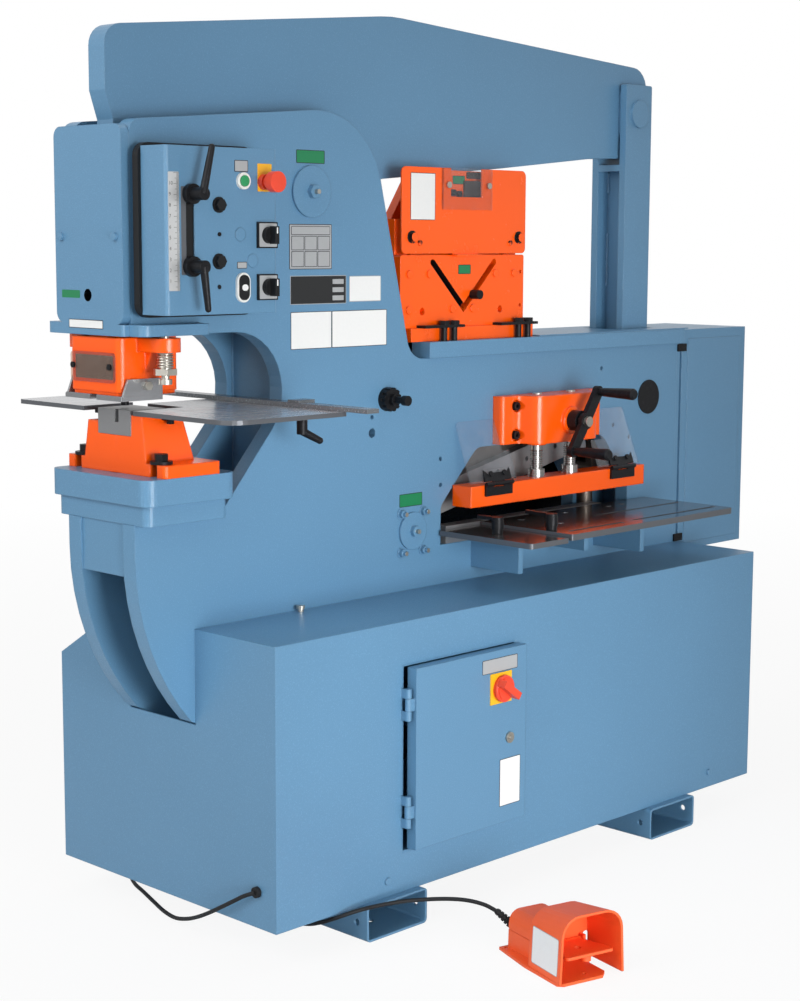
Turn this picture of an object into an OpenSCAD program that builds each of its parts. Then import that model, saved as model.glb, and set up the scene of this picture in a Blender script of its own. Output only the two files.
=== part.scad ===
// Ironworker: C-frame punching station, angle shear and flat bar shear on a sheet-metal base.
// X runs along the machine, -X is the punch end. Y runs across it, -Y is the operator's side.
// Z is up. The origin is on the floor, midway between the anchor holes of the fork tubes.

/* [Base cabinet] */
// Left end of the cabinet
base_x0 = -795; // [-800:1:-790]
// Right end of the cabinet
base_x1 = 813; // [810:1:900]
// Half the cabinet's depth
base_half_y = 346; // [320:1:400]
// Height of the cabinet's top over the floor
base_top = 648; // [600:1:650]
// Distance of each fork tube from the middle
fork_x = 474; // [380:1:560]
// Height of the fork tubes
fork_h = 76; // [70:1:76]
// Radius of the anchor holes
anchor_r = 9; // [7:0.5:12]

/* [Frame] */
// Outer face of each frame plate, from the mid-plane
plate_out = 106; // [100:1:110]
// Inner face of each frame plate, from the mid-plane
plate_in = 68; // [64:1:74]
// Front edge of the C-frame
nose_x = -941; // [-945:1:-930]
// Radius of the throat
throat_r = 123; // [110:1:130]
// Height of the deck above the shears
deck_z = 1160; // [1140:1:1170]

/* [Rocker beam] */
// Half the beam's thickness
beam_half = 25; // [20:0.5:26]
// Distance of the main pivot behind the punch
punch_arm = 402; // [380:1:420]
// Height of the main pivot
pivot_z = 1516; // [1500:1:1530]
// Radius of the main pivot pin
pivot_r = 45; // [35:1:48]

/* [Punching station] */
// Distance of the punch in front of the middle
punch_x = 878; // [860:1:890]
// Height of the tables and of the die
punch_table_z = 1088; // [1080:1:1090]
// Radius of the punch
punch_r = 8; // [5:0.5:10]

/* [Flat bar shear] */
// Height of the shear table
shear_table_z = 778; // [770:1:785]
// Angle of the open shear beam
shear_open = 12.3; // [8:0.1:14]
// Length of the hold-down bar
bar_len = 635; // [560:1:660]

/* [Angle shear] */
// Middle of the angle shear
angle_x = 11; // [0:1:20]
// Height of the lowest point of its V slot
v_apex_z = 1257; // [1250:1:1265]

/* [Hidden] */
$fn = 48;

blue = "#5B8CB0";
orange = "#FF641E";
steel = "#8A8D8F";
black = "#222426";

sheet = 4;            // gauge of the cabinet and covers
frame_x1 = base_x1 - 13;   // right end of the frame plates
cover_x0 = frame_x1 + 21;  // ends of the end cover
cover_x1 = cover_x0 + 280;
fit = 0.05;           // running clearance of a pin in its bore
gap = 0.5;            // clearance between pieces that slide past each other
pivot_x = punch_arm - punch_x;
ram_pin_r = 22;
column_x = 691;
column_pin_z = 1731;
column_pin_r = 25;
rod_pin_z = 531;      // pin between the link column and the cylinder rod
shear_pivot = [-172, 780];
shear_pin_r = 38;
shear_rod_x = 545;
bar_x0 = angle_x + 264 - bar_len / 2;
bar_x1 = bar_x0 + bar_len;
rod_spread = 61;      // jack screws to each side of the hold-down's middle
hold_x = (bar_x0 + bar_x1) / 2;
hold_y = -137;
crank_z = 1003;

// ---- helpers ----------------------------------------------------------------------

// A box between two opposite corners
module box(lo, hi) {
    translate(lo) cube(hi - lo);
}

// An outline in X and Z, made into a plate between two Y values
module yplate(y0, y1) {
    translate([0, y1, 0]) rotate([90, 0, 0]) linear_extrude(y1 - y0) children();
}

// An outline in Y and Z, made into a plate between two X values
module xplate(x0, x1) {
    translate([x0, 0, 0]) rotate([90, 0, 90]) linear_extrude(x1 - x0) children();
}

// An outline in X and Y, made into a plate between two Z values
module zplate(z0, z1) {
    translate([0, 0, z0]) linear_extrude(z1 - z0) children();
}

module xcyl(y, z, r, x0, x1) {
    translate([x0, y, z]) rotate([0, 90, 0]) cylinder(h = x1 - x0, r = r);
}

module ycyl(x, z, r, y0, y1) {
    translate([x, y1, z]) rotate([90, 0, 0]) cylinder(h = y1 - y0, r = r);
}

module zcyl(x, y, r, z0, z1) {
    translate([x, y, z0]) cylinder(h = z1 - z0, r = r);
}

// A slot outline of half-width r that reaches half a length to each side
module slot(r, half, turn = 0) {
    rotate(turn) {
        square([2 * half, 2 * r], center = true);
        translate([-half, 0]) circle(r);
        translate([half, 0]) circle(r);
    }
}

function unit(v) = v / norm(v);

function flat(p) = [p[0], p[1]];

// Points along an arc from angle a0 to a1 in n steps
function arc(c, r, a0, a1, n) =
    [for (i = [0:n]) c + r * [cos(a0 + (a1 - a0) * i / n), sin(a0 + (a1 - a0) * i / n)]];

// The corner b = [x, y, radius] between its neighbours a and c, as points of its fillet
function fillet(a, b, c) =
    let (p = flat(b), u = unit(flat(a) - p), v = unit(flat(c) - p), half = acos(u * v) / 2)
    let (o = p + unit(u + v) * b[2] / sin(half), reach = b[2] / tan(half))
    let (s = p + u * reach - o, e = p + v * reach - o, turn = atan2(cross(s, e), s * e))
    let (n = max(2, ceil(abs(turn) / 15)), a0 = atan2(s[1], s[0]))
    arc(o, b[2], a0, a0 + turn, n);

// An outline whose corners [x, y] are sharp and [x, y, radius] rounded
function rounded(pts) = let (n = len(pts)) [for (i = [0:n - 1])
    each (len(pts[i]) < 3 ? [pts[i]] : fillet(pts[(i + n - 1) % n], pts[i], pts[(i + 1) % n]))];

// Corner list of a rectangle with the same radius at every corner
function rect(x0, y0, x1, y1, r) = rounded([[x0, y0, r], [x1, y0, r], [x1, y1, r], [x0, y1, r]]);

// A hexagon bolt head or nut whose axis is Y
module yhex(x, z, r, y0, y1) {
    translate([x, y1, z]) rotate([90, 0, 0]) cylinder(h = y1 - y0, r = r, $fn = 6);
}

module zhex(x, y, r, z0, z1) {
    translate([x, y, z0]) cylinder(h = z1 - z0, r = r, $fn = 6);
}

// ---- base ---------------------------------------------------------------------------

// The cabinet's end profile in Y and Z, with the sloping shoulder behind the frame
module cabinet_profile(inset) {
    y = base_half_y - inset;
    top = base_top - inset;
    polygon([[-y, fork_h + inset], [y, fork_h + inset], [y, 532 - inset], [156, top], [-y, top]]);
}

door_x0 = -432;
door_x1 = -87;
door_z0 = 168;
door_z1 = 552;

module electrical_enclosure() {
    difference() {
        box([door_x0 - 14, -base_half_y + 1, door_z0 - 8], [door_x1 - 6, -170, door_z1 + 6]);
        box([door_x0 - 10, -base_half_y - 1, door_z0 - 4], [door_x1 - 10, -174, door_z1 + 2]);
    }
    // Mounting panel with the contactor rail and the contactors on it
    box([door_x0 + 20, -184, door_z0 + 20], [door_x1 - 40, -174, door_z1 - 30]);
    for (row = [0, 1]) {
        for (i = [0:3]) {
            x = door_x0 + 45 + 62 * i;
            z = door_z0 + 70 + 150 * row;
            box([x, -250, z], [x + 46, -184, z + 80]);
        }
    }
}

module base_cabinet() {
    color(blue) {
        difference() {
            xplate(base_x0, base_x1) cabinet_profile(0);
            xplate(base_x0 + sheet, base_x1 - sheet) cabinet_profile(sheet);
            // The frame stands in the cabinet through its top and left end
            box([base_x0 - 1, -plate_out, base_top - sheet - 1],
                [frame_x1, plate_out, base_top + 1]);
            box([base_x0 - 1, -plate_out, 452], [base_x0 + sheet + 1, plate_out, base_top + 1]);
            box([door_x0 - 14, -base_half_y - 1, door_z0 - 8],
                [door_x1 - 6, -base_half_y + sheet + 1, door_z1 + 6]);
            xcyl(-292, 150, 9, base_x0 - 1, base_x0 + sheet + 1);
        }
        electrical_enclosure();
        // Rubber grommet's seat, screw heads of the front panel
        for (p = [[-489, 110], [642, 114]]) {
            ycyl(p[0], p[1], 8, -base_half_y - 5, -base_half_y);
        }
        // Hinge barrels of the electrical door
        for (z = [216, 443]) {
            zcyl(door_x0 - 11, -base_half_y - 14, 7, z, z + 20);
            zcyl(door_x0 - 11, -base_half_y - 14, 7, z + 47, z + 67);
            box([door_x0 - 18, -base_half_y - 14, z], [door_x0 - 15, -base_half_y + 1, z + 20]);
            box([door_x0 - 18, -base_half_y - 14, z + 47],
                [door_x0 - 15, -base_half_y + 1, z + 67]);
        }
    }
}

fork_half_w = 88;
fork_half_y = 362;
anchor_y = 280;

module fork_tubes() {
    color(blue) for (side = [-1, 1]) {
        x = side * fork_x;
        difference() {
            yplate(-fork_half_y, fork_half_y) difference() {
                polygon(rect(x - fork_half_w, 0, x + fork_half_w, fork_h, 10));
                polygon(rect(x - fork_half_w + 5, 5, x + fork_half_w - 5, fork_h - 5, 5));
            }
            for (end = [-1, 1]) {
                zcyl(x, end * anchor_y, anchor_r, -1, 6);
                xcyl(end * (fork_half_y - 30), fork_h / 2, 7, x - fork_half_w - 1,
                     x + fork_half_w + 1);
            }
        }
    }
}

// ---- frame --------------------------------------------------------------------------

throat_c = [-680, 1235 - throat_r];
arch_x0 = -79;
arch_x1 = 603;

module frame_outline() {
    polygon(rounded(concat(
        [[nose_x, 871]],
        arc([nose_x + 520, 811], 520, 180, 222.5, 8),
        [[-788, 452], [-788, fork_h + sheet], [frame_x1, fork_h + sheet], [frame_x1, deck_z],
         [-179, deck_z, 50], [-309, 1694, 180], [nose_x, 1642, 30], [nose_x, 1257],
         [-778, 1257], [-778, 1235]],
        arc(throat_c, throat_r, 90, -40.8, 12),
        [[-722, 876], [-722, 871]]
    )));
}

// The arched opening in front of the flat bar shear
module shear_arch() {
    polygon(rounded([[arch_x0, 738], [arch_x1, 738], [arch_x1, 812, 20], [500, 950, 60],
                     [40, 950, 40], [arch_x0, 826, 20]]));
}

module frame_plate(y0, y1) {
    difference() {
        yplate(y0, y1) difference() {
            frame_outline();
            shear_arch();
        }
        ycyl(pivot_x, pivot_z, pivot_r, y0 - 1, y1 + 1);
        ycyl(shear_pivot[0], shear_pivot[1], shear_pin_r, y0 - 1, y1 + 1);
    }
}

module frame_plate_near() {
    color(blue) difference() {
        frame_plate(-plate_out, -plate_in);
        ycyl(-297, 1006, 10, -plate_out - 1, -plate_in + 1);
        for (p = [[-297, 1040], [492, 1110], [-81, 933], [-80, 874], [542, 968], [606, 934]]) {
            ycyl(p[0], p[1], 5, -plate_out - 1, -plate_out + 14);
        }
    }
}

module frame_plate_far() {
    color(blue) frame_plate(plate_in, plate_out);
}

module frame_webs() {
    color(blue) {
        // Throat web, nose plate, lower web and end web between the plates
        box([-541, -plate_in, fork_h + sheet], [-516, plate_in, 1300]);
        box([-936, -plate_in, 766], [-916, plate_in, 871]);
        box([frame_x1 - 30, -plate_in, fork_h + sheet], [frame_x1 - 5, plate_in, deck_z]);
        // Bolster: two stepped plates on the lower jaw
        difference() {
            union() {
                zplate(871, 911) polygon(rect(-940, -145, -735, 145, 18));
                zplate(911, 963) polygon(rect(-950, -157, -722, 157, 25));
            }
            zcyl(-punch_x, 0, 30, 870, 964);
            for (y = [-121, 121]) zcyl(-885, y, 10, 920, 964);
        }
        // Guard at the back of the shear, open at the bottom for the offcuts
        box([arch_x0 - 16, 226, 700], [arch_x1 + 16, 230, 1000]);
        box([arch_x0 - 16, plate_out, 996], [arch_x1 + 16, 226, 1000]);
        for (x = [arch_x0 - 16, arch_x1 + 12]) box([x, plate_out, 700], [x + 4, 226, 996]);
        // Brackets under the two shear tables
        box([23, -251, 676], [38, -plate_out, shear_table_z - 18]);
        box([470, -251, 676], [485, -plate_out, shear_table_z - 14]);
        box([270, -240, 700], [285, -plate_out, shear_table_z - 14]);
    }
}

// ---- punching station -----------------------------------------------------------------

module die_holder() {
    color(orange) difference() {
        union() {
            // Foot flange and the tapered body over it
            zplate(963, 988) polygon(rect(-905, -157, -765, 157, 8));
            hull() {
                box([-905, -98, 984], [-785, 98, 988]);
                box([-903, -84, 1078], [-805, 84, punch_table_z - 9]);
            }
        }
        // Lower shoulder on the far side
        box([-906, 52, 1062], [-780, 90, punch_table_z]);
        // Seat of the die block, slug hole and open bolt slots
        box([-906, -52, 1038], [-820, 52, punch_table_z + 1]);
        zcyl(-punch_x, 0, 24, 962, 1040);
        for (y = [-121, 121]) {
            zplate(962, 989) {
                translate([-885, y]) circle(11);
                translate([-907, y - 11]) square([22, 22]);
            }
        }
        for (y = [-70, 70]) zcyl(-855, y, 5, 1050, punch_table_z);
    }
}

module die_block() {
    color(steel) difference() {
        box([-905, -52, 1038], [-820, 52, punch_table_z]);
        zcyl(-punch_x, 0, punch_r + 0.5, 1030, punch_table_z + 1);
        box([-906, -14, 1063], [-893, -2, punch_table_z + 1]);
    }
}

module die_bolts() {
    color(black) {
        for (y = [-121, 121]) {
            zcyl(-885, y, 22, 988, 994);
            zcyl(-885, y, 9.5, 925, 1002);
            zhex(-885, y, 14, 994, 1008);
        }
        // Strut that carries the far table beside the holder
        box([-840, 90, 1067], [-800, 150, punch_table_z - 9]);
        box([-840, 112, 988], [-800, 124, 1067]);
        // Clip and bolt under the near table
        box([-856, -112, 1069], [-834, -87, punch_table_z - 9]);
        zhex(-845, -100, 8, 1062, 1069);
    }
}

// Scribed grid lines are cut 0.6 mm deep into the right table
module punch_tables() {
    z0 = punch_table_z - 9;
    color(steel) {
        zplate(z0, punch_table_z) polygon(rounded([[-905, 99], [-782, 99], [-782, 325, 12],
                                                   [-905, 325, 12]]));
        difference() {
            zplate(z0, punch_table_z) {
                polygon(rounded([[-908, -355, 40], [-600, -355, 25], [-600, 60, 10],
                                 [-780, 60, 10], [-780, -61], [-908, -61, 4]]));
            }
            for (y = [-130, -200, -270]) {
                box([-885, y, punch_table_z - 0.6], [-640, y + 1.2, punch_table_z + 1]);
            }
            for (x = [-830, -750]) {
                box([x, -330, punch_table_z - 0.6], [x + 1.2, -80, punch_table_z + 1]);
            }
        }
    }
}

head_x0 = -951;
head_x1 = -805;

module punch_head() {
    color(orange) difference() {
        union() {
            zplate(1126, 1231) polygon(rect(head_x0, -80, head_x1, 80, 14));
            zplate(1120, 1126) polygon(rect(head_x0 + 3, -77, head_x1 - 3, 77, 12));
            zplate(1204, 1231) {
                for (side = [-1, 1]) {
                    translate([-punch_x, side * 128]) circle(30);
                    translate([-punch_x - 30, side > 0 ? 70 : -128]) square([60, 58]);
                }
            }
            // Neck against the flange
            zplate(1231, 1235) circle_at(-punch_x, 0, 66);
            // Gussets under the lobes
            for (side = [-1, 1]) {
                xplate(-punch_x - 10, -punch_x + 10) {
                    polygon([[side * 78, 1160], [side * 100, 1205], [side * 78, 1205]]);
                }
            }
        }
        zcyl(-punch_x, 0, 52, 1119, 1236);
        ycyl(-893, 1138, 5, -90, 90);
        box([head_x0 - 1, -60, 1150], [-punch_x, 60, 1196]);
        for (side = [-1, 1]) zcyl(-punch_x, side * 128, 8.5, 1203, 1232);
    }
}

module circle_at(x, y, r) {
    translate([x, y]) circle(r);
}

module sight_windows() {
    color("#6A5A50", 0.4) {
        xplate(head_x0 - 6, head_x0) polygon(rect(-68, 1144, 68, 1202, 8));
        for (y = [-58, 58]) xcyl(y, 1175, 6, head_x0 - 10, head_x0 - 6);
    }
    color("#E9EEF0", 0.4) yplate(-96, -92) polygon(rect(angle_x - 79, 1486, angle_x + 85, 1577, 2));
}

module stripper() {
    color(steel) {
        difference() {
            union() {
                box([-955, -90, 1110], [-855, 90, 1118]);
                box([-955, -88, 1118], [-820, 88, 1120]);
                for (side = [-1, 1]) {
                    y0 = side > 0 ? 85 : -90;
                    yplate(y0, y0 + 5) polygon([[-955, 1110], [-855, 1110], [-855, 1152],
                                                [-938, 1152]]);
                }
            }
            zcyl(-punch_x, 0, punch_r + 3, 1109, 1121);
            box([-956, -punch_r - 3, 1109], [-punch_x, punch_r + 3, 1121]);
        }
        for (side = [-1, 1]) {
            yhex(-893, 1138, 9, side > 0 ? 90 : -98, side > 0 ? 98 : -90);
            ycyl(-893, 1138, 5, side > 0 ? 68 : -90, side > 0 ? 90 : -68);
            spring_post(side * 128);
        }
    }
}

// A stud under the lobe with its spring rings, nut and cap
module spring_post(y) {
    zcyl(-punch_x, y, 8, 1150, 1235);
    for (z = [1176:5.2:1202]) {
        translate([-punch_x, y, z]) rotate_extrude() translate([14, 0]) circle(2, $fn = 8);
    }
    zcyl(-punch_x, y, 12.5, 1172, 1204);
    zhex(-punch_x, y, 24, 1160, 1172);
    zcyl(-punch_x, y, 13, 1142, 1152);
}

module head_shroud() {
    color(blue) {
        // Flange under the head, with the bushing that guides the ram
        difference() {
            zplate(1235, 1257) polygon(rounded([[-960, -104, 6], [-945, -104], [-945, -148, 18],
                                                [-780, -148, 10], [-780, 143, 10],
                                                [-960, 143, 18]]));
            zcyl(-punch_x, 0, 56, 1234, 1258);
        }
        difference() {
            zcyl(-punch_x, 0, 56, 1235, 1335);
            zcyl(-punch_x, 0, 38 + fit, 1234, 1336);
        }
        difference() {
            xplate(-960, nose_x) polygon(rect(-plate_out, 1257, plate_out, 1633, 20));
            xcyl(4, 1311, 12, -961, nose_x + 1);
        }
        for (y = [-85, 85]) xcyl(y, 1423, 8, -966, -960);
    }
}

// ---- control box ----------------------------------------------------------------------

box_x0 = -941;
box_x1 = -667;
box_z0 = 1277;
box_z1 = 1591;
face_y = -215;
slot_x = -884;
lever_z = [1502, 1368];

module control_box() {
    color(blue) {
        difference() {
            zplate(box_z0, box_z1) polygon(rounded([[box_x0, -141], [box_x0, face_y, 7],
                                                    [box_x1, face_y, 7], [box_x1, -141]]));
            box([box_x0 + 3, face_y + 3, box_z0 + 3], [box_x1 - 3, -140, box_z1 - 3]);
            box([slot_x - 10, face_y - 1, 1357], [slot_x + 10, face_y + 4, 1512]);
            // Holes of the buttons and selectors
            ycyl(-755, 1529, 11, face_y - 1, face_y + 4);
            ycyl(-702, 1528, 11.5, face_y - 1, face_y + 4);
            yplate(face_y - 1, face_y + 4) translate([-757.6, 1327]) slot(12.5, 12, 90);
        }
        // Stand-off plate between the gasket and the frame
        box([-925, -125, 1290], [-690, -plate_out, 1578]);
        // Blank plugs and small screws
        for (p = [[-762, 1428, 13], [-731, 1378, 13], [-814, 1428, 4], [-815, 1329, 4]]) {
            ycyl(p[0], p[1], p[2], face_y - 2, face_y);
        }
    }
}

module panel_trim() {
    color(black) {
        yplate(-141, -125) difference() {
            polygon(rect(box_x0 - 7, box_z0 - 6, box_x1 + 5, box_z1 + 7, 25));
            polygon(rect(box_x0 + 22, box_z0 + 22, box_x1 - 24, box_z1 - 22, 6));
        }
        for (p = [[-815, 1483], [-816, 1377]]) {
            ycyl(p[0], p[1], 15, face_y - 3, face_y);
            yhex(p[0], p[1], 12, face_y - 11, face_y - 3);
        }
        // Selector bezels
        for (z = [1427, 1327]) {
            box([-720.5, face_y - 6, z - 25], [-670.5, face_y, z + 25]);
        }
        // Bezels of the start button, the stop button and the jog rocker
        difference() {
            ycyl(-755, 1529, 16, face_y - 6, face_y);
            ycyl(-755, 1529, 11, face_y - 7, face_y + 1);
        }
        difference() {
            ycyl(-702, 1528, 15, face_y - 12, face_y);
            ycyl(-702, 1528, 11.5, face_y - 13, face_y + 1);
        }
        difference() {
            yplate(face_y - 6, face_y) translate([-757.6, 1327]) slot(16.5, 12, 90);
            yplate(face_y - 7, face_y + 1) translate([-757.6, 1327]) slot(12.5, 12, 90);
        }
        // Guide strip behind the slot
        box([slot_x - 24, face_y + 3, 1345], [slot_x + 24, face_y + 5, 1524]);
    }
}

module start_button() {
    color("#2FA45A") ycyl(-755, 1529, 10.5, face_y - 9, face_y + 12);
}

module estop_button() {
    color("#E8483A") {
        ycyl(-702, 1528, 20, face_y - 44, face_y - 26);
        ycyl(-702, 1528, 11, face_y - 26, face_y + 12);
    }
}

module jog_rocker() {
    color(black) yplate(face_y - 9, face_y + 10) translate([-757.6, 1327]) slot(12, 12, 90);
}

// A knob with a raised grip, on one of the selector bezels
module selector(z) {
    color(black) {
        ycyl(-695.5, z, 16, face_y - 17, face_y - 6.3);
        box([-695.5 - 5, face_y - 33, z - 17], [-695.5 + 5, face_y - 16, z + 17]);
    }
}

module selector_upper() {
    selector(1427);
}

module selector_lower() {
    selector(1327);
}

// A clamp lever: collar on the face, hub and a tapering arm that ends at (dx, dz)
module stroke_lever(z, dx, dz) {
    reach = norm([dx, dz]);
    color(black) {
        ycyl(slot_x, z, 19, face_y - 12, face_y - 0.3);
        ycyl(slot_x, z, 7, face_y - 12, face_y + 2.7);
        ycyl(slot_x, z, 12, face_y - 44, face_y - 12);
        translate([slot_x, face_y - 38, z]) rotate([0, atan2(dx, dz), 0]) {
            cylinder(h = reach, r1 = 8, r2 = 6);
            translate([0, 0, reach]) sphere(6);
        }
    }
}

module lever_upper() {
    stroke_lever(lever_z[0], 22, 86);
}

module lever_lower() {
    stroke_lever(lever_z[1], 10, -79);
}

// ---- rocker beam and its drive -----------------------------------------------------------

module pivot_pins() {
    color(blue) {
        ycyl(pivot_x, pivot_z, pivot_r, -plate_out - 0.1, plate_out + 6);
        ycyl(pivot_x, pivot_z, 53, -plate_out - 6, -plate_out);
        yhex(pivot_x, pivot_z, 15, -plate_out - 17, -plate_out - 6);
        ycyl(pivot_x, pivot_z, 5, -plate_out - 26, -plate_out - 17);
        for (side = [-1, 1]) {
            y0 = side < 0 ? -plate_in : beam_half + gap;
            difference() {
                ycyl(pivot_x, pivot_z, 70, y0, y0 + plate_in - beam_half - gap);
                ycyl(pivot_x, pivot_z, pivot_r, y0 - 1, y0 + plate_in);
            }
        }
        // Pin of the shear beam with its disc and the four bolts of its retainer
        x = shear_pivot[0];
        z = shear_pivot[1];
        ycyl(x, z, shear_pin_r, -plate_out - 0.1, plate_out + 6);
        ycyl(x, z, 42, -plate_out - 6, -plate_out);
        yhex(x, z, 13, -plate_out - 16, -plate_out - 6);
        ycyl(x, z, 5, -plate_out - 24, -plate_out - 16);
        for (dx = [-35, 34], dz = [-46, 41]) {
            ycyl(x + dx, z + dz, 12, -plate_out - 2, -plate_out);
            yhex(x + dx, z + dz, 9.5, -plate_out - 11, -plate_out - 2);
            ycyl(x + dx, z + dz, 5, -plate_out - 19, -plate_out - 11);
        }
    }
}

module beam_outline() {
    difference() {
        polygon(rounded([[-915, 1450, 50], [-560, 1430, 90], [-390, 1430, 90],
                         [-194, 1550, 30], [201, 1584], [544, 1618], [754, 1624.5, 14],
                         [754, 1843, 55], [-161, 1900, 400], [-933, 1822, 42],
                         [-933, 1700], [-915, 1645]]));
        translate([-punch_x, pivot_z]) slot(ram_pin_r + 0.4, 2.5);
    }
}

module rocker_beam() {
    color(blue) difference() {
        yplate(-beam_half, beam_half) beam_outline();
        ycyl(pivot_x, pivot_z, pivot_r + fit, -beam_half - 1, beam_half + 1);
        ycyl(column_x, column_pin_z, column_pin_r + fit, -beam_half - 1, beam_half + 1);
    }
}

link_z = 1525;        // pin between the beam's lug and the angle carriage
link_r = 12;

// Height of the beam's lower edge over the angle shear
function beam_low(x) = 1550 + (x + 194) * 34 / 395;

module beam_fittings() {
    // Wear plates at the column and the lug that lifts the angle carriage
    color(blue) for (side = [-1, 1]) {
        y0 = side < 0 ? -32.6 : beam_half;
        difference() {
            yplate(y0, y0 + 32.6 - beam_half) {
                polygon(rect(column_x - 46, 1676, column_x + 46, 1790, 12));
            }
            ycyl(column_x, column_pin_z, column_pin_r + fit, y0 - 1, y0 + 40);
        }
    }
    color(orange) difference() {
        yplate(-20, 20) {
            polygon(rounded([[angle_x - 36, beam_low(angle_x - 36)], [angle_x - 36, 1500, 16],
                             [angle_x + 36, 1500, 16], [angle_x + 36, beam_low(angle_x + 36)]]));
        }
        yplate(-21, 21) translate([angle_x, link_z]) slot(link_r + 0.5, 2.5);
    }
}

module ram() {
    color(steel) {
        zcyl(-punch_x, 0, 38, 1190, 1402);
        difference() {
            yplate(-61, 61) polygon(rect(-918, 1400, -838, 1566, 10));
            box([-925, -beam_half - 2, 1422], [-830, beam_half + 2, 1570]);
        }
        ycyl(-punch_x, pivot_z, ram_pin_r, -60, 60);
    }
}

module punch() {
    color(black) {
        zcyl(-punch_x, 0, 32, 1152, 1190);
        zcyl(-punch_x, 0, punch_r, 1094, 1152);
    }
}

module link_column() {
    color(blue) {
        for (side = [-1, 1]) {
            y0 = side < 0 ? -52 : 33;
            yplate(y0, y0 + 19) polygon(rect(column_x - 51, 490, column_x + 51, 1802, 6));
        }
        box([column_x - 10, -33, 640], [column_x + 10, 33, 1590]);
        box([column_x - 51, -33, 1590], [column_x + 51, 33, 1606]);
    }
    color(steel) {
        ycyl(column_x, column_pin_z, column_pin_r, -33.2, 33.2);
        for (side = [-1, 1]) {
            ycyl(column_x, column_pin_z, 34, side < 0 ? -58 : 52, side < 0 ? -52 : 58);
        }
        ycyl(column_x, rod_pin_z, 20, -33.2, 33.2);
    }
}

module cylinder_rod() {
    color(steel) {
        difference() {
            union() {
                zcyl(column_x, 0, 28, 330, 495);
                yplate(-30, 30) polygon(rect(column_x - 40, 480, column_x + 40, 580, 20));
            }
            yplate(-31, 31) translate([column_x, rod_pin_z]) slot(21, 1);
        }
    }
}

module hydraulics() {
    color(steel) {
        // Main cylinder on its foot block
        difference() {
            zcyl(column_x, 0, 56, 110, 460);
            zcyl(column_x, 0, 28 + fit, 140, 461);
        }
        box([column_x - 60, -plate_in, fork_h + sheet], [column_x + 60, plate_in, 110]);
        // Shear cylinder on its post
        difference() {
            zcyl(shear_rod_x, -16.5, 42, 200, 600);
            zcyl(shear_rod_x, -16.5, 20 + fit, 230, 601);
        }
        box([shear_rod_x - 45, -60, fork_h + sheet], [shear_rod_x + 45, 27, 200]);
    }
    color(black) {
        // Oil tank at the back of the cabinet, with the motor and pump on it
        difference() {
            box([-60, 125, fork_h + sheet], [540, 325, 330]);
            box([-57, 128, fork_h + sheet + 3], [537, 322, 327]);
            zcyl(480, 225, 20, 320, 331);
        }
        xcyl(225, 420, 80, 60, 320);
        box([120, 170, 330], [260, 280, 350]);
        xcyl(225, 420, 38, 320, 400);
    }
}

// ---- deck and end cover -------------------------------------------------------------------

module deck_rails() {
    color(blue) {
        for (side = [-1, 1]) {
            y0 = side < 0 ? -118 : plate_in - 5;
            box([-130, y0, deck_z], [frame_x1 + 15, y0 + 55, deck_z + 36]);
        }
        // Closing plate with the slot for the link column
        difference() {
            box([250, -112, deck_z + 36], [frame_x1 + 38, 112, deck_z + 39]);
            zplate(deck_z + 35, deck_z + 40) polygon(rect(618, -58, 764, 58, 6));
        }
    }
}

module end_cover() {
    color(blue) {
        difference() {
            box([cover_x0, -plate_out, 622], [cover_x1, 154, 1194]);
            box([cover_x0 + sheet, -plate_out + sheet, 622 + sheet],
                [cover_x1 - sheet, 154 - sheet, 1194 - sheet]);
            box([cover_x0 - 1, -50, 700], [cover_x0 + sheet + 1, 50, 1100]);
        }
        // Flange line of the front face and the strips that join the cover to the frame
        box([cover_x0 + 24, -plate_out - 2, 640], [cover_x1 - 24, -plate_out, 1170]);
        box([frame_x1, -plate_out, base_top], [frame_x1 + 12, -80, 1158]);
        box([frame_x1 + 12, -98, base_top], [cover_x0, -80, 1158]);
        box([frame_x1, 72, base_top], [cover_x0, 92, 1158]);
    }
    color(black) {
        for (z = [base_top, 1139]) {
            box([frame_x1 + 0.5, -plate_out - 4, z], [cover_x0 + 15, -plate_out, z + 19]);
        }
    }
}

// ---- angle shear ---------------------------------------------------------------------------

angle_x0 = angle_x - 205;
angle_x1 = angle_x + 205;
v_arm = 102;

// The V slot between two legs at right angles, with round ends
module v_slot(extra = 0) {
    r = 7.4 + extra;
    translate([angle_x, v_apex_z + 10.5]) {
        for (side = [-1, 1]) {
            translate([side * v_arm / 2, v_arm / 2]) slot(r, v_arm / sqrt(2), side * 45);
        }
        translate([0, -10.5 - extra * sqrt(2)]) rotate(45) square(2 * r);
    }
}

module angle_front_plate() {
    color(orange) difference() {
        union() {
            yplate(-88, -66) polygon(rounded([[angle_x0, 1226], [angle_x1, 1226],
                                              [angle_x1, 1386, 6], [angle_x0, 1386, 6]]));
            for (x = [-166, -102, 117, 181], z = [1344]) ycyl(x, z, 9, -92, -88);
            for (x = [-168, -27, 40], z = [1266]) ycyl(x, z, 9, -92, -88);
        }
        yplate(-93, -65) v_slot();
        for (x = [-124, 135]) ycyl(x, 1262, 8, -89, -70);
        for (z = [1270, 1347]) ycyl(205, z, 4, -89, -70);
    }
}

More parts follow.
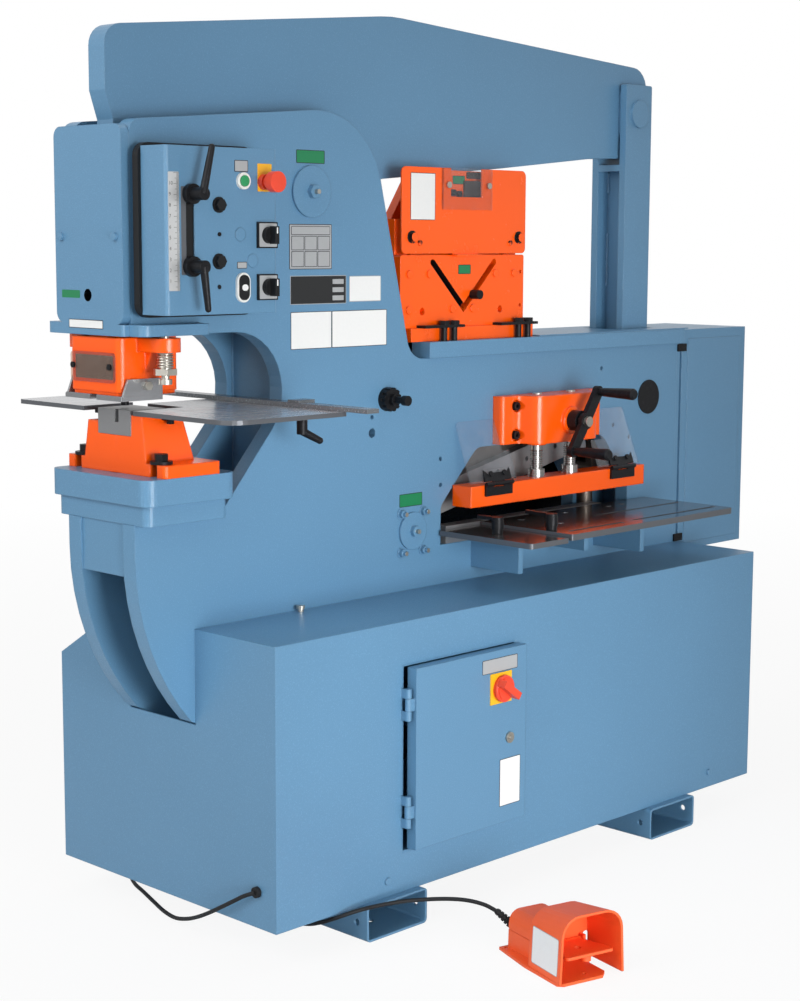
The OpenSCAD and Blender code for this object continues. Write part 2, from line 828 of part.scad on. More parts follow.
module angle_back_frame() {
    color(orange) {
        // Sill, side guides and the slotted rear plate
        box([angle_x - 176, -94, deck_z + 36], [angle_x + 234, 84, 1226]);
        for (side = [-1, 1]) {
            x0 = side < 0 ? angle_x0 + 4 : angle_x1 - 44;
            box([x0, -66, 1226], [x0 + 40, 60, 1464]);
            // Upper cheeks of the guides, behind the guard's edges
            box([x0 + 6, -86, 1389], [x0 + 34, -66, 1464]);
        }
        difference() {
            box([angle_x0 + 4, 60, 1226], [angle_x1 - 4, 80, 1440]);
            yplate(59, 81) v_slot(4);
        }
    }
}

module angle_guard() {
    color(orange) {
        yplate(-92, -88) polygon(rounded([[angle_x0, 1389, 12], [angle_x1, 1389, 12],
                                          [angle_x1, 1577, 14], [angle_x + 54, 1577],
                                          [angle_x + 54, 1514], [angle_x - 49, 1514],
                                          [angle_x - 49, 1577], [angle_x0, 1577, 14]]));
        // Finger lip, guide studs and their stems
        box([angle_x - 40, -104, 1383], [angle_x + 44, -88, 1387]);
        box([angle_x - 40, -92, 1385], [angle_x + 44, -88, 1391]);
        for (x = [angle_x - 173, angle_x + 181]) {
            ycyl(x, 1425, 14, -94, -92);
            ycyl(x, 1425, 10, -102, -94);
            ycyl(x, 1425, 7, -88, -86);
        }
        for (x = [angle_x - 149, angle_x + 151]) ycyl(x, 1412, 6, -96, -92);
        for (x = [angle_x - 60, angle_x + 73]) ycyl(x, 1540, 7, -99, -96);
    }
}

module carriage_outline() {
    polygon(rounded([[angle_x - 148, 1240], [angle_x + 148, 1240], [angle_x + 148, 1420, 10],
                     [angle_x + 60, 1552, 10], [angle_x - 60, 1552, 10],
                     [angle_x - 148, 1420, 10]]));
}

module angle_carriage() {
    color(orange) {
        difference() {
            union() {
                yplate(-62, -27) carriage_outline();
                yplate(27, 52) carriage_outline();
                // Spacers that join the two plates beside the slot
                box([angle_x - 148, -27, 1240], [angle_x - 126, 27, 1330]);
                box([angle_x + 126, -27, 1240], [angle_x + 148, 27, 1330]);
            }
            yplate(-63, 53) v_slot(2);
        }
    }
    color(steel) ycyl(angle_x, link_z, link_r, -27.1, 27.1);
}

module shear_fasteners() {
    color(black) {
        // Two clamps that hold the angle shear's sill on the deck
        for (x = [-71, 181]) {
            box([x - 71, -116, 1226], [x + 57, -88, 1232]);
            for (dx = [0, 33]) {
                zcyl(x + dx, -105, 7, deck_z + 36, 1226);
                zhex(x + dx, -105, 12, 1232, 1241);
            }
        }
        // Knob of the angle hold-down
        ycyl(40, 1297, 10.5, -112, -88);
        // Set screw at the foot of the near plate
        zcyl(-522, -122, 6, base_top, base_top + 6);
        zcyl(-522, -122, 9, base_top + 6, base_top + 13);
        // Socket screws of the gear housing
        for (side = [-1, 1], z = [973, 1040]) {
            x = hold_x + side * 134;
            difference() {
                ycyl(x, z, 10, -140, -126);
                ycyl(x, z, 5, -141, -133, $fn = 6);
            }
        }
        // Round adjuster with its shaft on the near plate
        difference() {
            ycyl(-253, 1077, 26, -plate_out - 20, -plate_out);
            for (i = [0:11]) {
                translate([-253, -plate_out - 8, 1077]) rotate([0, 30 * i, 0]) {
                    translate([26, 0, 0]) rotate([90, 0, 0]) cylinder(h = 13, r = 3.4);
                }
            }
        }
        ycyl(-253, 1077, 13, -plate_out - 30, -plate_out - 20);
        ycyl(-253, 1077, 7.5, -plate_out - 52, -plate_out - 30);
        ycyl(-253, 1077, 11, -plate_out - 66, -plate_out - 52);
        // Plug of the rear housing
        ycyl(682, 1030, 43, -plate_out - 2, -plate_out);
    }
}

// ---- flat bar shear ---------------------------------------------------------------------------

module lower_blade() {
    color(steel) {
        box([-60, -105, 738], [500, -68.4, shear_table_z]);
    }
}

// The shear beam is drawn level about its pivot and turned up to its open rest position
module at_shear(y0, y1) {
    translate([shear_pivot[0], 0, shear_pivot[1]]) rotate([0, -shear_open, 0]) {
        yplate(y0, y1) children();
    }
}

module shear_beam() {
    color(blue) difference() {
        at_shear(-41.5, 8.5) difference() {
            polygon(rounded([[-84, -50, 40], [60, -50, 40], [120, 10], [780, 12, 10],
                             [780, 110, 20], [420, 172, 60], [60, 140, 60], [-84, 60, 60]]));
            translate([730, 60]) slot(18, 22);
        }
        ycyl(shear_pivot[0], shear_pivot[1], shear_pin_r + fit, -45, 10);
    }
    color(steel) difference() {
        // Hub that fills the width between the plates
        ycyl(shear_pivot[0], shear_pivot[1], 60, -plate_in + gap, plate_in - gap);
        ycyl(shear_pivot[0], shear_pivot[1], shear_pin_r + fit, -plate_in, plate_in);
        ycyl(shear_pivot[0], shear_pivot[1], 61, -41.4, 8.4);
    }
}

module upper_blade() {
    color(steel) difference() {
        at_shear(-67.6, -41.5) polygon([[118, -8], [670, -8], [670, 58], [118, 58]]);
        at_shear(-68, -55) for (u = [238, 343, 449, 556]) translate([u, 28]) circle(6);
    }
}

module shear_rod() {
    run = shear_rod_x - shear_pivot[0];
    z = shear_pivot[1] + run * tan(shear_open) + 60 / cos(shear_open);
    color(steel) {
        zcyl(shear_rod_x, -16.5, 20, 420, z - 140);
        difference() {
            yplate(-61, 28) polygon(rect(shear_rod_x - 30, z - 145, shear_rod_x + 30, z + 30, 12));
            box([shear_rod_x - 31, -43, z - 125], [shear_rod_x + 31, 10, z + 31]);
        }
        ycyl(shear_rod_x, z, 16, -60, 27);
    }
}

// ---- hold-down ----------------------------------------------------------------------------------

module gear_housing() {
    color(orange) difference() {
        union() {
            zplate(953, 1064) polygon(rounded([[hold_x - 181, -plate_out],
                [hold_x - 181, -136, 10], [hold_x - 125, -136, 14], [hold_x - 108, -187, 30],
                [hold_x + 108, -187, 30], [hold_x + 125, -136, 14], [hold_x + 181, -136, 10],
                [hold_x + 181, -plate_out]]));
            for (side = [-1, 1]) {
                zcyl(hold_x + side * rod_spread, hold_y, 22, 946, 1060);
            }
            ycyl(hold_x, crank_z, 32, -196, -180);
        }
        for (side = [-1, 1]) {
            zcyl(hold_x + side * rod_spread, hold_y, 16, 945, 1056);
            for (z = [973, 1040]) {
                ycyl(hold_x + side * 134, z, 14, -150, -126);
            }
        }
        ycyl(hold_x, crank_z, 12 + fit, -197, -150);
    }
    color(steel) for (side = [-1, 1]) {
        zcyl(hold_x + side * rod_spread, hold_y, 11, 1064, 1067);
    }
}

module hold_down_bar() {
    color(orange) {
        box([bar_x0, -165, 823], [bar_x1, -108, 871]);
    }
}

// Threaded screws, drawn as a rod with rings, over their collars
module jack_screws() {
    color(steel) for (side = [-1, 1]) {
        x = hold_x + side * rod_spread;
        zcyl(x, hold_y, 20, 871, 889);
        zcyl(x, hold_y, 13, 889, 1000);
        for (z = [892:5:936]) {
            translate([x, hold_y, z]) rotate_extrude() {
                polygon([[12, -2], [15, -0.5], [15, 0.5], [12, 2]]);
            }
        }
    }
}

crank_angle = 56;
crank_half = 80;

module crank() {
    color(black) {
        ycyl(hold_x, crank_z, 12, -226, -152);
        ycyl(hold_x, crank_z, 24, -222, -196.5);
        yplate(-238, -226) translate([hold_x, crank_z]) {
            rotate(crank_angle) {
                square([2 * crank_half, 26], center = true);
                for (side = [-1, 1]) translate([side * crank_half, 0]) circle(14);
                circle(19);
            }
        }
        ycyl(hold_x, crank_z, 12, -246, -238);
        for (side = [-1, 1]) {
            dx = side * crank_half * cos(crank_angle);
            dz = side * crank_half * sin(crank_angle);
            translate([hold_x + dx, -238, crank_z + dz]) rotate([90, 0, 0]) {
                cylinder(h = 14, r = 9);
                translate([0, 0, 12]) cylinder(h = 86, r1 = 10, r2 = 13.5);
                translate([0, 0, 98]) cylinder(h = 5, r1 = 13.5, r2 = 10);
            }
        }
    }
}

guard_y = -160;
guard_z = 879;
guard_lean = 21;
guard_len = 142;
barrel_y = -171;
barrel_z = 873;

// A clear plate leaning back from its hinge, between two X values
module guard_plate(x0, x1, hx0, hx1, side) {
    translate([0, guard_y, guard_z]) rotate([-guard_lean, 0, 0]) {
        color("#E9EEF0", 0.4) yplate(-2, 2) difference() {
            polygon(rounded([[x0, -2, 3], [x1, -2, 3], [x1 - 3, guard_len, 10],
                             [x0 + 3, guard_len, 10]]));
            // Corner cut out round the gear housing
            polygon([[hold_x + side * 184, 66], [hold_x, 66], [hold_x, guard_len + 1],
                     [hold_x + side * 184, guard_len + 1]]);
        }
        // Hinge leaf screwed on the plate, with its part of the barrel
        color(black) {
            box([hx0, -8, -2], [hx1, -2, 26]);
            box([hx0 + 26, -8, -9], [hx1 - 26, -4, -1]);
            for (x = [hx0 + 22, hx1 - 22]) ycyl(x, 14, 6, -12, -8);
        }
    }
    color(black) xcyl(barrel_y, barrel_z, 5, hx0 + 26, hx1 - 26);
}

module guard_left() {
    guard_plate(bar_x0 + 2, bar_x0 + 158, 2, 92, -1);
}

module guard_right() {
    guard_plate(bar_x1 - 176, bar_x1 - 18, 457, 547, 1);
}

module guard_knuckles() {
    color(black) for (x0 = [2, 457]) {
        box([x0, -171, 846], [x0 + 90, -165, 866]);
        for (x = [x0, x0 + 64.5]) {
            xcyl(barrel_y, barrel_z, 5, x, x + 25.5);
            box([x, -171, 862], [x + 25.5, -165, 874]);
        }
    }
}

// ---- shear tables -----------------------------------------------------------------------------

module shear_tables() {
    z1 = shear_table_z;
    color(steel) {
        zplate(z1 - 18, z1 - 6) polygon(rounded([[-88, -112], [-88, -383, 8], [47, -383, 16],
                                                 [47, -112]]));
        difference() {
            zplate(z1 - 14, z1) polygon(rounded([[50, -112], [50, -383, 4], [665, -383, 12],
                                                 [665, -112, 4]]));
            zplate(z1 - 15, z1 + 1) {
                for (s = [[182, -345, 96], [484, -340, 160], [481, -233, 160]]) {
                    translate([s[0], s[1]]) slot(5, s[2]);
                }
            }
        }
        // Fixing screws through the right table
        for (p = [[304, -151], [168, -250], [142, -154], [467, -152], [522, -150]]) {
            zcyl(p[0], p[1], 8, z1, z1 + 0.8);
        }
    }
}

// A black stop: a post on the table and a swinging arm; the arm ends at (dx, dy)
module table_stop(x, y, z, dx, dy) {
    color(black) {
        zcyl(x, y, 12, z + 0.3, z + 36);
        zcyl(x, y, 14, z + 10, z + 30);
        translate([x, y, z + 29]) rotate([0, 0, atan2(dy, dx)]) {
            translate([0, -6, 0]) cube([norm([dx, dy]), 12, 8]);
            cylinder(h = 8, r = 13);
            translate([norm([dx, dy]), 0, 0]) cylinder(h = 8, r = 6);
        }
    }
}

module stop_left() {
    table_stop(-27, -231, shear_table_z - 6, -4, 50);
}

module stop_right() {
    table_stop(69, -307, shear_table_z, 6, 76);
}

// ---- fence of the punching station ------------------------------------------------------------

module fence_bar() {
    color(steel) {
        box([-622, -420, punch_table_z + 0.3], [-590, 300, punch_table_z + 9]);
        // Clamp block that grips the right table's edge
        box([-618, -222, punch_table_z + 9], [-574, -190, punch_table_z + 14]);
        box([-590, -222, punch_table_z - 22], [-574, -190, punch_table_z + 9]);
        box([-612, -222, punch_table_z - 22], [-590, -190, punch_table_z - 9.5]);
    }
}

module fence_lever() {
    color(black) {
        zcyl(-594, -206, 11, punch_table_z - 56, punch_table_z - 22);
        translate([-594, -206, punch_table_z - 50]) rotate([0, 118, -45]) {
            cylinder(h = 40, r1 = 8.5, r2 = 7);
            translate([0, 0, 40]) sphere(7);
        }
    }
}

// ---- electrical door -----------------------------------------------------------------------------

door_face = -base_half_y - 26.5;

module electrical_door() {
    color(blue) {
        difference() {
            box([door_x0, door_face, door_z0], [door_x1, -base_half_y - 1, door_z1]);
            box([door_x0 + 3, door_face + 3, door_z0 + 3],
                [door_x1 - 3, -base_half_y + 1, door_z1 - 3]);
            ycyl(-143, 355, 6.3, door_face - 1, door_face + 4);
        }
        for (z = [216, 443]) {
            zcyl(door_x0 - 11, -base_half_y - 14, 7, z + 20.5, z + 46.5);
            box([door_x0 - 11, -base_half_y - 21, z + 20.5],
                [door_x0 + 0.5, -base_half_y - 18, z + 46.5]);
        }
    }
    // Plate of the isolator
    color("#F2C230") box([-206, door_face - 3, 436], [-139, door_face, 503]);
}

isolator = [-172, 469];

module isolator_handle() {
    color("#D83A2E") {
        ycyl(isolator[0], isolator[1], 24, door_face - 18, door_face - 3.3);
        translate([isolator[0], door_face - 36, isolator[1]]) rotate([0, 35, 0]) {
            translate([-30, 0, -8]) cube([60, 19, 16]);
        }
    }
}

module door_latch() {
    color(steel) {
        ycyl(-143, 355, 12, door_face - 5, door_face - 0.3);
        ycyl(-143, 355, 5, door_face - 8, door_face - 5);
        ycyl(-143, 355, 6, door_face - 1, door_face + 14);
        box([-150, door_face + 8, 348], [-100, door_face + 14, 362]);
    }
}

// ---- foot pedal ------------------------------------------------------------------------------------

pedal_turn = -15;
relief = [-30, 220, 41];
relief_way = unit([-34, 32, 38]);
relief_len = 52;

// The pedal's own frame: x to its right, y towards the cable, its mouth at y = 0
module in_pedal() {
    translate([-391, -808, 0]) rotate([0, 0, pedal_turn]) children();
}

// Outline of the shield, drawn in by inset and lower by drop
module shield_profile(inset, drop) {
    w = 77 - inset - drop / 4;
    polygon(rounded([[-w, 4], [w, 4], [w - 6, 136 - inset - drop, 42 - inset],
                     [-w + 6, 136 - inset - drop, 42 - inset]]));
}

// The shield's solid, whose arch is lower at the back
module shield_solid(inset, y0, y1) {
    hull() {
        translate([0, y0 + 1, 0]) rotate([90, 0, 0]) linear_extrude(1) shield_profile(inset, 0);
        translate([0, y1, 0]) rotate([90, 0, 0]) linear_extrude(1) shield_profile(inset, 16);
    }
}

module pedal_body() {
    color("#F05A30") in_pedal() {
        // Base plate with cut corners, and the ears of the rear flange
        difference() {
            zplate(0, 6) polygon([[-66, 0], [26, 0], [42, 16], [42, 70], [77, 105], [77, 120],
                                  [66, 225], [-66, 225], [-77, 120], [-77, 8]]);
            for (p = [[0, 24], [-56, 214], [56, 214]]) zcyl(p[0], p[1], 4, -1, 7);
        }
        // Shield: an arch over the treadle, closed at its sides
        difference() {
            shield_solid(0, 0, 112);
            shield_solid(5, -1, 106);
            // Arched gap in the back wall, beside the housing
            translate([61, 114, 3]) rotate([90, 0, 0]) linear_extrude(10) {
                translate([-8, 0]) square([17, 44]);
                translate([0.5, 44]) circle(8.5);
            }
        }
        // Switch housing behind the shield
        difference() {
            union() {
                translate([0, 214, 0]) rotate([90, 0, 0]) linear_extrude(104) {
                    polygon(rounded([[-52, 5], [52, 5], [50, 84, 26], [-50, 84, 26]]));
                }
                box([-50, 106, 5], [50, 112, 60]);
                for (x = [-50, 44]) box([x, 90, 5], [x + 6, 112, 54]);
            }
            // Seam between the housing's halves
            difference() {
                box([-60, 130, 44], [60, 216, 46]);
                box([-50, 120, 43], [50, 212, 47]);
            }
            ycyl(relief[0], relief[2], 7, 206, 216);
            xcyl(100, 44, 5 + fit, -51, 51);
        }
    }
}

module treadle() {
    color("#F05A30") in_pedal() {
        translate([0, 100, 44]) rotate([-4, 0, 0]) {
            difference() {
                zplate(-3, 3) polygon(rounded([[-40, 0], [-58, -96, 8], [58, -96, 8], [40, 0]]));
                zcyl(0, -52, 7, -4, 4);
            }
            zcyl(0, -78, 10, -16, -3);
        }
        xcyl(100, 44, 5, -49, 49);
    }
}

// Ribbed cable boot at the back of the pedal, bent up and to the left
module strain_relief() {
    color(black) in_pedal() {
        ycyl(relief[0], relief[2], 6.9, 206, 220);
        translate(relief) rotate([0, acos(relief_way[2]), atan2(relief_way[1], relief_way[0])]) {
            sphere(6.9);
            cylinder(h = relief_len, r = 6);
            for (i = [0:5]) translate([0, 0, 4 + 8 * i]) cylinder(h = 5, r = 10 - 0.6 * i);
        }
    }
    // Grommet in the cabinet's end
    color(black) {
        xcyl(-292, 150, 9, base_x0 - 1, base_x0 + sheet);
        xcyl(-292, 150, 11, base_x0 - 8, base_x0);
    }
}

// ---- cord -------------------------------------------------------------------------------------------

cord_r = 4.2;
cord_route = [[-803, -292, 150], [-811, -268, 139], [-815, -236, 120], [-814, -198, 98],
              [-809, -156, 75], [-799, -109, 52], [-785, -57, 31], [-766, 3, 13],
              [-744, 68, 5], [-720, 136, 4.3], [-698, 198, 4.3], [-680, 250, 4.3],
              [-655, 292, 4.3], [-620, 298, 4.3], [-597, 260, 4.3], [-590, 180, 4.3],
              [-592, 60, 4.3], [-596, -60, 4.3], [-604, -160, 7], [-620, -245, 26],
              [-638, -308, 51], [-636, -348, 70], [-607, -372, 82], [-555, -387, 85],
              [-498, -410, 86], [-448, -454, 89], [-416, -494, 89], [-397, -530, 84],
              [-384, -553, 73]];

// A smooth curve through the route's points
function bend(p0, p1, p2, p3, t) = 0.5 * (2 * p1 + (p2 - p0) * t
    + (2 * p0 - 5 * p1 + 4 * p2 - p3) * t * t + (3 * p1 - p0 - 3 * p2 + p3) * t * t * t);

function route_point(i) = cord_route[max(0, min(len(cord_route) - 1, i))];

function route_curve(steps) = concat(
    [for (i = [0:len(cord_route) - 2], s = [0:steps - 1])
        bend(route_point(i - 1), route_point(i), route_point(i + 1), route_point(i + 2),
             s / steps)],
    [route_point(len(cord_route) - 1)]);

// A ring of points round p, square to the direction d
function ring(p, d, r, n) =
    let (side = unit(cross(d, abs(d[2]) > 0.9 ? [1, 0, 0] : [0, 0, 1])), up = cross(side, d))
    [for (k = [0:n - 1]) p + r * (cos(360 * k / n) * side + sin(360 * k / n) * up)];

module tube(path, r, n) {
    last = len(path) - 1;
    points = [for (i = [0:last])
        each ring(path[i], unit(path[min(last, i + 1)] - path[max(0, i - 1)]), r, n)];
    sides = [for (i = [0:last - 1], k = [0:n - 1])
        [i * n + k, i * n + (k + 1) % n, (i + 1) * n + (k + 1) % n, (i + 1) * n + k]];
    polyhedron(points, concat([[for (k = [n - 1:-1:0]) k]], sides,
                              [[for (k = [0:n - 1]) last * n + k]]), convexity = 10);
}

module pedal_cord() {
    color(black) tube(route_curve(3), cord_r, 8);
}

// ---- nodes ------------------------------------------------------------------------------------------

base_cabinet();
fork_tubes();
frame_plate_near();
frame_plate_far();
frame_webs();
die_holder();
die_block();
die_bolts();
punch_tables();
punch_head();
sight_windows();
stripper();
head_shroud();
control_box();
panel_trim();
pivot_pins();
deck_rails();
end_cover();
angle_front_plate();
angle_back_frame();
angle_guard();
shear_fasteners();
lower_blade();
gear_housing();
shear_tables();
hydraulics();
rocker_beam();
beam_fittings();
ram();
punch();
link_column();
cylinder_rod();
shear_beam();
upper_blade();
shear_rod();
angle_carriage();
hold_down_bar();
jack_screws();
crank();
guard_left();
guard_right();
guard_knuckles();
electrical_door();
isolator_handle();
door_latch();
start_button();
estop_button();
jog_rocker();
selector_upper();
selector_lower();
lever_upper();
lever_lower();
fence_bar();
fence_lever();
stop_left();
stop_right();
pedal_body();
treadle();
strain_relief();
pedal_cord();
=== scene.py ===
import math

import bpy
from mathutils import Matrix, Vector


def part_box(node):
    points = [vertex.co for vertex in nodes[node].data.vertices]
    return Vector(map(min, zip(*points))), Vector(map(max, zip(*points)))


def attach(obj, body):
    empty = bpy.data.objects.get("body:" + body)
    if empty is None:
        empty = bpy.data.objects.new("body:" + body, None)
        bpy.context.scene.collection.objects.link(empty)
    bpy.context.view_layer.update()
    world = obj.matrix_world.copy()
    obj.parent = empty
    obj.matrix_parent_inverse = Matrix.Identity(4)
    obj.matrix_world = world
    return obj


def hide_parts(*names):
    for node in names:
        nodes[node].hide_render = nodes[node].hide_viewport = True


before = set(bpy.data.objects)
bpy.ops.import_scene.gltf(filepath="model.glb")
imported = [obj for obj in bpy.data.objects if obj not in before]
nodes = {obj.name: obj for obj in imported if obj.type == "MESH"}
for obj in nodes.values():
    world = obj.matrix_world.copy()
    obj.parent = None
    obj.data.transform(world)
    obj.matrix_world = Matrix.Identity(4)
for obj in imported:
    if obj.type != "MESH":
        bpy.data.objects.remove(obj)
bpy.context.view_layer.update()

MM = 0.001


# ---- camera --------------------------------------------------------------------------

CAMERA_AT = (-3.1684, -2.9987, 1.4204)
CAMERA_WAY = (0.7083, 0.6926, -0.1363)
CAMERA_ROLL = 0.0042
LENS_MM = 68.33
SENSOR_MM = 36


def make_camera():
    data = bpy.data.cameras.new("camera")
    data.sensor_width = SENSOR_MM
    data.lens = LENS_MM
    camera = bpy.data.objects.new("camera", data)
    bpy.context.scene.collection.objects.link(camera)
    turn = Vector(CAMERA_WAY).to_track_quat("-Z", "Y").to_matrix()
    roll = Matrix.Rotation(CAMERA_ROLL, 3, "Z")
    camera.matrix_world = Matrix.Translation(CAMERA_AT) @ (turn @ roll).to_4x4()
    bpy.context.scene.camera = camera


make_camera()


# ---- the pedal's cord ----------------------------------------------------------------

CORD_ROUTE = [
    (-803, -292, 150), (-811, -268, 139), (-815, -236, 120), (-814, -198, 98),
    (-809, -156, 75), (-799, -109, 52), (-785, -57, 31), (-766, 3, 13),
    (-744, 68, 5), (-720, 136, 4.3), (-698, 198, 4.3), (-680, 250, 4.3),
    (-655, 292, 4.3), (-620, 298, 4.3), (-597, 260, 4.3), (-590, 180, 4.3),
    (-592, 60, 4.3), (-596, -60, 4.3), (-604, -160, 7), (-620, -245, 26),
    (-638, -308, 51), (-636, -348, 70), (-607, -372, 82), (-555, -387, 85),
    (-498, -410, 86), (-448, -454, 89), (-416, -494, 89), (-397, -530, 84),
    (-384, -553, 73)]
CORD_R = 4.2 * MM


def smooth_route(route, steps):
    """Points on the smooth curve through the route, the first and last among them."""
    ends = [route[0]] + list(route) + [route[-1]]
    out = []
    for p0, p1, p2, p3 in zip(ends, ends[1:], ends[2:], ends[3:]):
        for s in range(steps):
            t = s / steps
            out.append(tuple(
                0.5 * MM * (2 * b + (c - a) * t + (2 * a - 5 * b + 4 * c - d) * t * t
                            + (3 * b - a - 3 * c + d) * t ** 3)
                for a, b, c, d in zip(p0, p1, p2, p3)))
    out.append(tuple(MM * v for v in route[-1]))
    return out


def make_cord():
    points = smooth_route(CORD_ROUTE, 8)
    data = bpy.data.curves.new("pedal_cord_jacket", "CURVE")
    data.dimensions = "3D"
    data.bevel_depth = 1  # times the radius that each point has
    data.bevel_resolution = 4
    data.use_fill_caps = True
    line = data.splines.new("POLY")
    line.points.add(len(points) - 1)
    for point, at in zip(line.points, points):
        point.co = (*at, 1)
        point.radius = CORD_R
    cord = bpy.data.objects.new("pedal_cord_jacket", data)
    bpy.context.scene.collection.objects.link(cord)
    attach(cord, "machine")
    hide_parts("pedal_cord")
    return cord


cord = make_cord()


# ---- finishes ------------------------------------------------------------------------

class Value:
    """A socket in a finish. Sums and comparisons on it add Math nodes."""

    def __init__(self, finish, out):
        self.finish = finish
        self.out = out

    def __add__(self, other):
        return self.finish.sum_of("ADD", self, other)

    def __rsub__(self, other):
        return self.finish.sum_of("SUBTRACT", other, self)

    def __mul__(self, other):
        return self.finish.sum_of("MULTIPLY", self, other)

    def __truediv__(self, other):
        return self.finish.sum_of("DIVIDE", self, other)

    def __gt__(self, other):
        return self.finish.sum_of("GREATER_THAN", self, other)

    def __lt__(self, other):
        return self.finish.sum_of("LESS_THAN", self, other)

    __radd__ = __add__
    __rmul__ = __mul__


def tone(hex_code, alpha=1.0):
    """A colour written as six hex digits, in the linear values that shaders use."""
    parts = [int(hex_code[i:i + 2], 16) / 255 for i in (0, 2, 4)]
    return tuple(c / 12.92 if c <= 0.04045 else ((c + 0.055) / 1.055) ** 2.4
                 for c in parts) + (alpha,)


class Finish:
    """A material with a Principled shader, built from expressions."""

    def __init__(self, name, rough=0.4, metal=0.0, coat=0.0):
        self.material = bpy.data.materials.new(name)
        self.material.use_nodes = True
        self.tree = self.material.node_tree
        self.shader = self.tree.nodes["Principled BSDF"]
        self.place = self.node("ShaderNodeTexCoord", output="Object")
        self.put("Roughness", rough)
        self.put("Metallic", metal)
        self.put("Coat Weight", coat)

    def node(self, kind, settings=None, inputs=None, output=0):
        made = self.tree.nodes.new(kind)
        for key, value in (settings or {}).items():
            if key == "stops":
                ramp = made.color_ramp.elements
                while len(ramp) < len(value):
                    ramp.new(0.5)
                for stop, (at, shade) in zip(ramp, value):
                    stop.position = at
                    stop.color = (shade, shade, shade, 1)
            else:
                setattr(made, key, value)
        for key, value in (inputs or {}).items():
            self.feed(made.inputs[key], value)
        return Value(self, made.outputs[output])

    def feed(self, socket, value):
        if isinstance(value, Value):
            self.tree.links.new(value.out, socket)
        else:
            socket.default_value = value

    def sum_of(self, operation, *values):
        return self.node("ShaderNodeMath", {"operation": operation}, dict(enumerate(values)))

    def put(self, name, value):
        self.feed(self.shader.inputs[name], value)

    def noise(self, scale, detail=2.0, rough=0.5, place=None):
        return self.node("ShaderNodeTexNoise", {},
                         {"Vector": place or self.place, "Scale": scale, "Detail": detail,
                          "Roughness": rough})

    def stretched(self, scale):
        """Object coordinates, scaled apart on each axis."""
        return self.node("ShaderNodeMapping", {}, {"Vector": self.place, "Scale": scale})

    def ramp(self, value, *stops):
        return self.node("ShaderNodeValToRGB", {"stops": stops}, {"Fac": value})

    def mix(self, factor, low, high):
        made = self.tree.nodes.new("ShaderNodeMix")
        made.data_type = "RGBA"
        self.feed(made.inputs["Factor"], factor)
        self.feed(made.inputs[6], low)
        self.feed(made.inputs[7], high)
        return Value(self, made.outputs[2])

    def bump(self, height, distance, strength=1.0, edge=0.0015):
        """Relief over edges that are rounded a little."""
        inputs = {"Height": height, "Distance": distance, "Strength": strength}
        if edge:
            inputs["Normal"] = self.node("ShaderNodeBevel", {"samples": 4},
                                         {"Radius": edge})
        self.put("Normal", self.node("ShaderNodeBump", {}, inputs))


def shaded(colour, by):
    return tuple(min(1.0, c * by) for c in colour[:3]) + (1,)


def hammered(name, colour, edge=0.003):
    """Textured two-pack enamel: fine pits, pale flecks and slow drifts of colour."""
    made = Finish(name)
    drift = made.noise(1.6, 4)
    pits = made.noise(300, 3, 0.7)
    flecks = made.ramp(made.noise(470, 2), (0.57, 0), (0.70, 1))
    body = made.mix(drift, shaded(colour, 0.90), shaded(colour, 1.10))
    made.put("Base Color", made.mix(flecks * 0.15, body, shaded(colour, 2.1)))
    made.put("Roughness", 0.24 + 0.2 * pits)
    made.bump(pits + 0.5 * flecks, 0.0006, 0.5, edge)
    return made


def enamel(name, colour, rough=0.26, peel=0.12, edge=0.0022):
    """Smooth gloss enamel with a little orange peel and a few thin marks."""
    made = Finish(name)
    marks = made.ramp(made.noise(26, 6, 0.7), (0.55, 0), (0.8, 1))
    made.put("Base Color", made.mix(made.noise(4, 2), shaded(colour, 0.97),
                                    shaded(colour, 1.03)))
    made.put("Roughness", rough + 0.05 * marks)
    made.bump(made.noise(140, 2), 0.0003, peel, edge)
    return made


def cast_paint(name, colour):
    """Satin enamel over a sand casting."""
    made = Finish(name)
    grains = made.noise(420, 3, 0.65)
    made.put("Base Color", made.mix(made.noise(9, 4), shaded(colour, 0.92),
                                    shaded(colour, 1.06)))
    made.put("Roughness", 0.38 + 0.16 * grains)
    made.bump(grains, 0.0005, 0.3, 0.003)
    return made


def plate_steel(name, pale, dark, rough, way=(6, 260, 260), stain=0.5, edge=0.0008):
    """Rolled or ground steel: fine lines one way and cloudy oil stains."""
    made = Finish(name, metal=1.0)
    lines = made.noise(1, 3, 0.6, made.stretched(way))
    clouds = made.ramp(made.noise(13, 5, 0.62), (0.34, 0), (0.7, 1))
    made.put("Base Color", made.mix(clouds * stain + lines * 0.3, pale, dark))
    made.put("Roughness", rough + 0.1 * clouds + 0.08 * lines)
    made.bump(lines, 0.00012, 0.5, edge)
    return made


def turned_steel(name, pale, rough):
    """Bright turned or ground bar, with tool marks round it."""
    made = Finish(name, metal=1.0)
    rings = made.noise(1, 2, 0.5, made.stretched((12, 12, 900)))
    made.put("Base Color", made.mix(made.noise(60, 4), pale, shaded(pale, 0.72)))
    made.put("Roughness", rough + 0.12 * rings)
    made.bump(rings, 0.00015, 0.5, 0.0006)
    return made


DULL = 0.25  # specular level of oxide, black paint and rubber


def blackened(name, colour, rough=0.42):
    """Black oxide with worn, slightly grey high spots."""
    made = Finish(name, metal=0.35)
    made.put("Specular IOR Level", DULL)
    worn = made.ramp(made.noise(140, 4, 0.65), (0.52, 0), (0.8, 1))
    made.put("Base Color", made.mix(worn, colour, shaded(colour, 2.4)))
    made.put("Roughness", rough - 0.14 * worn)
    made.bump(made.noise(600, 2), 0.0002, 0.4, 0.001)
    return made


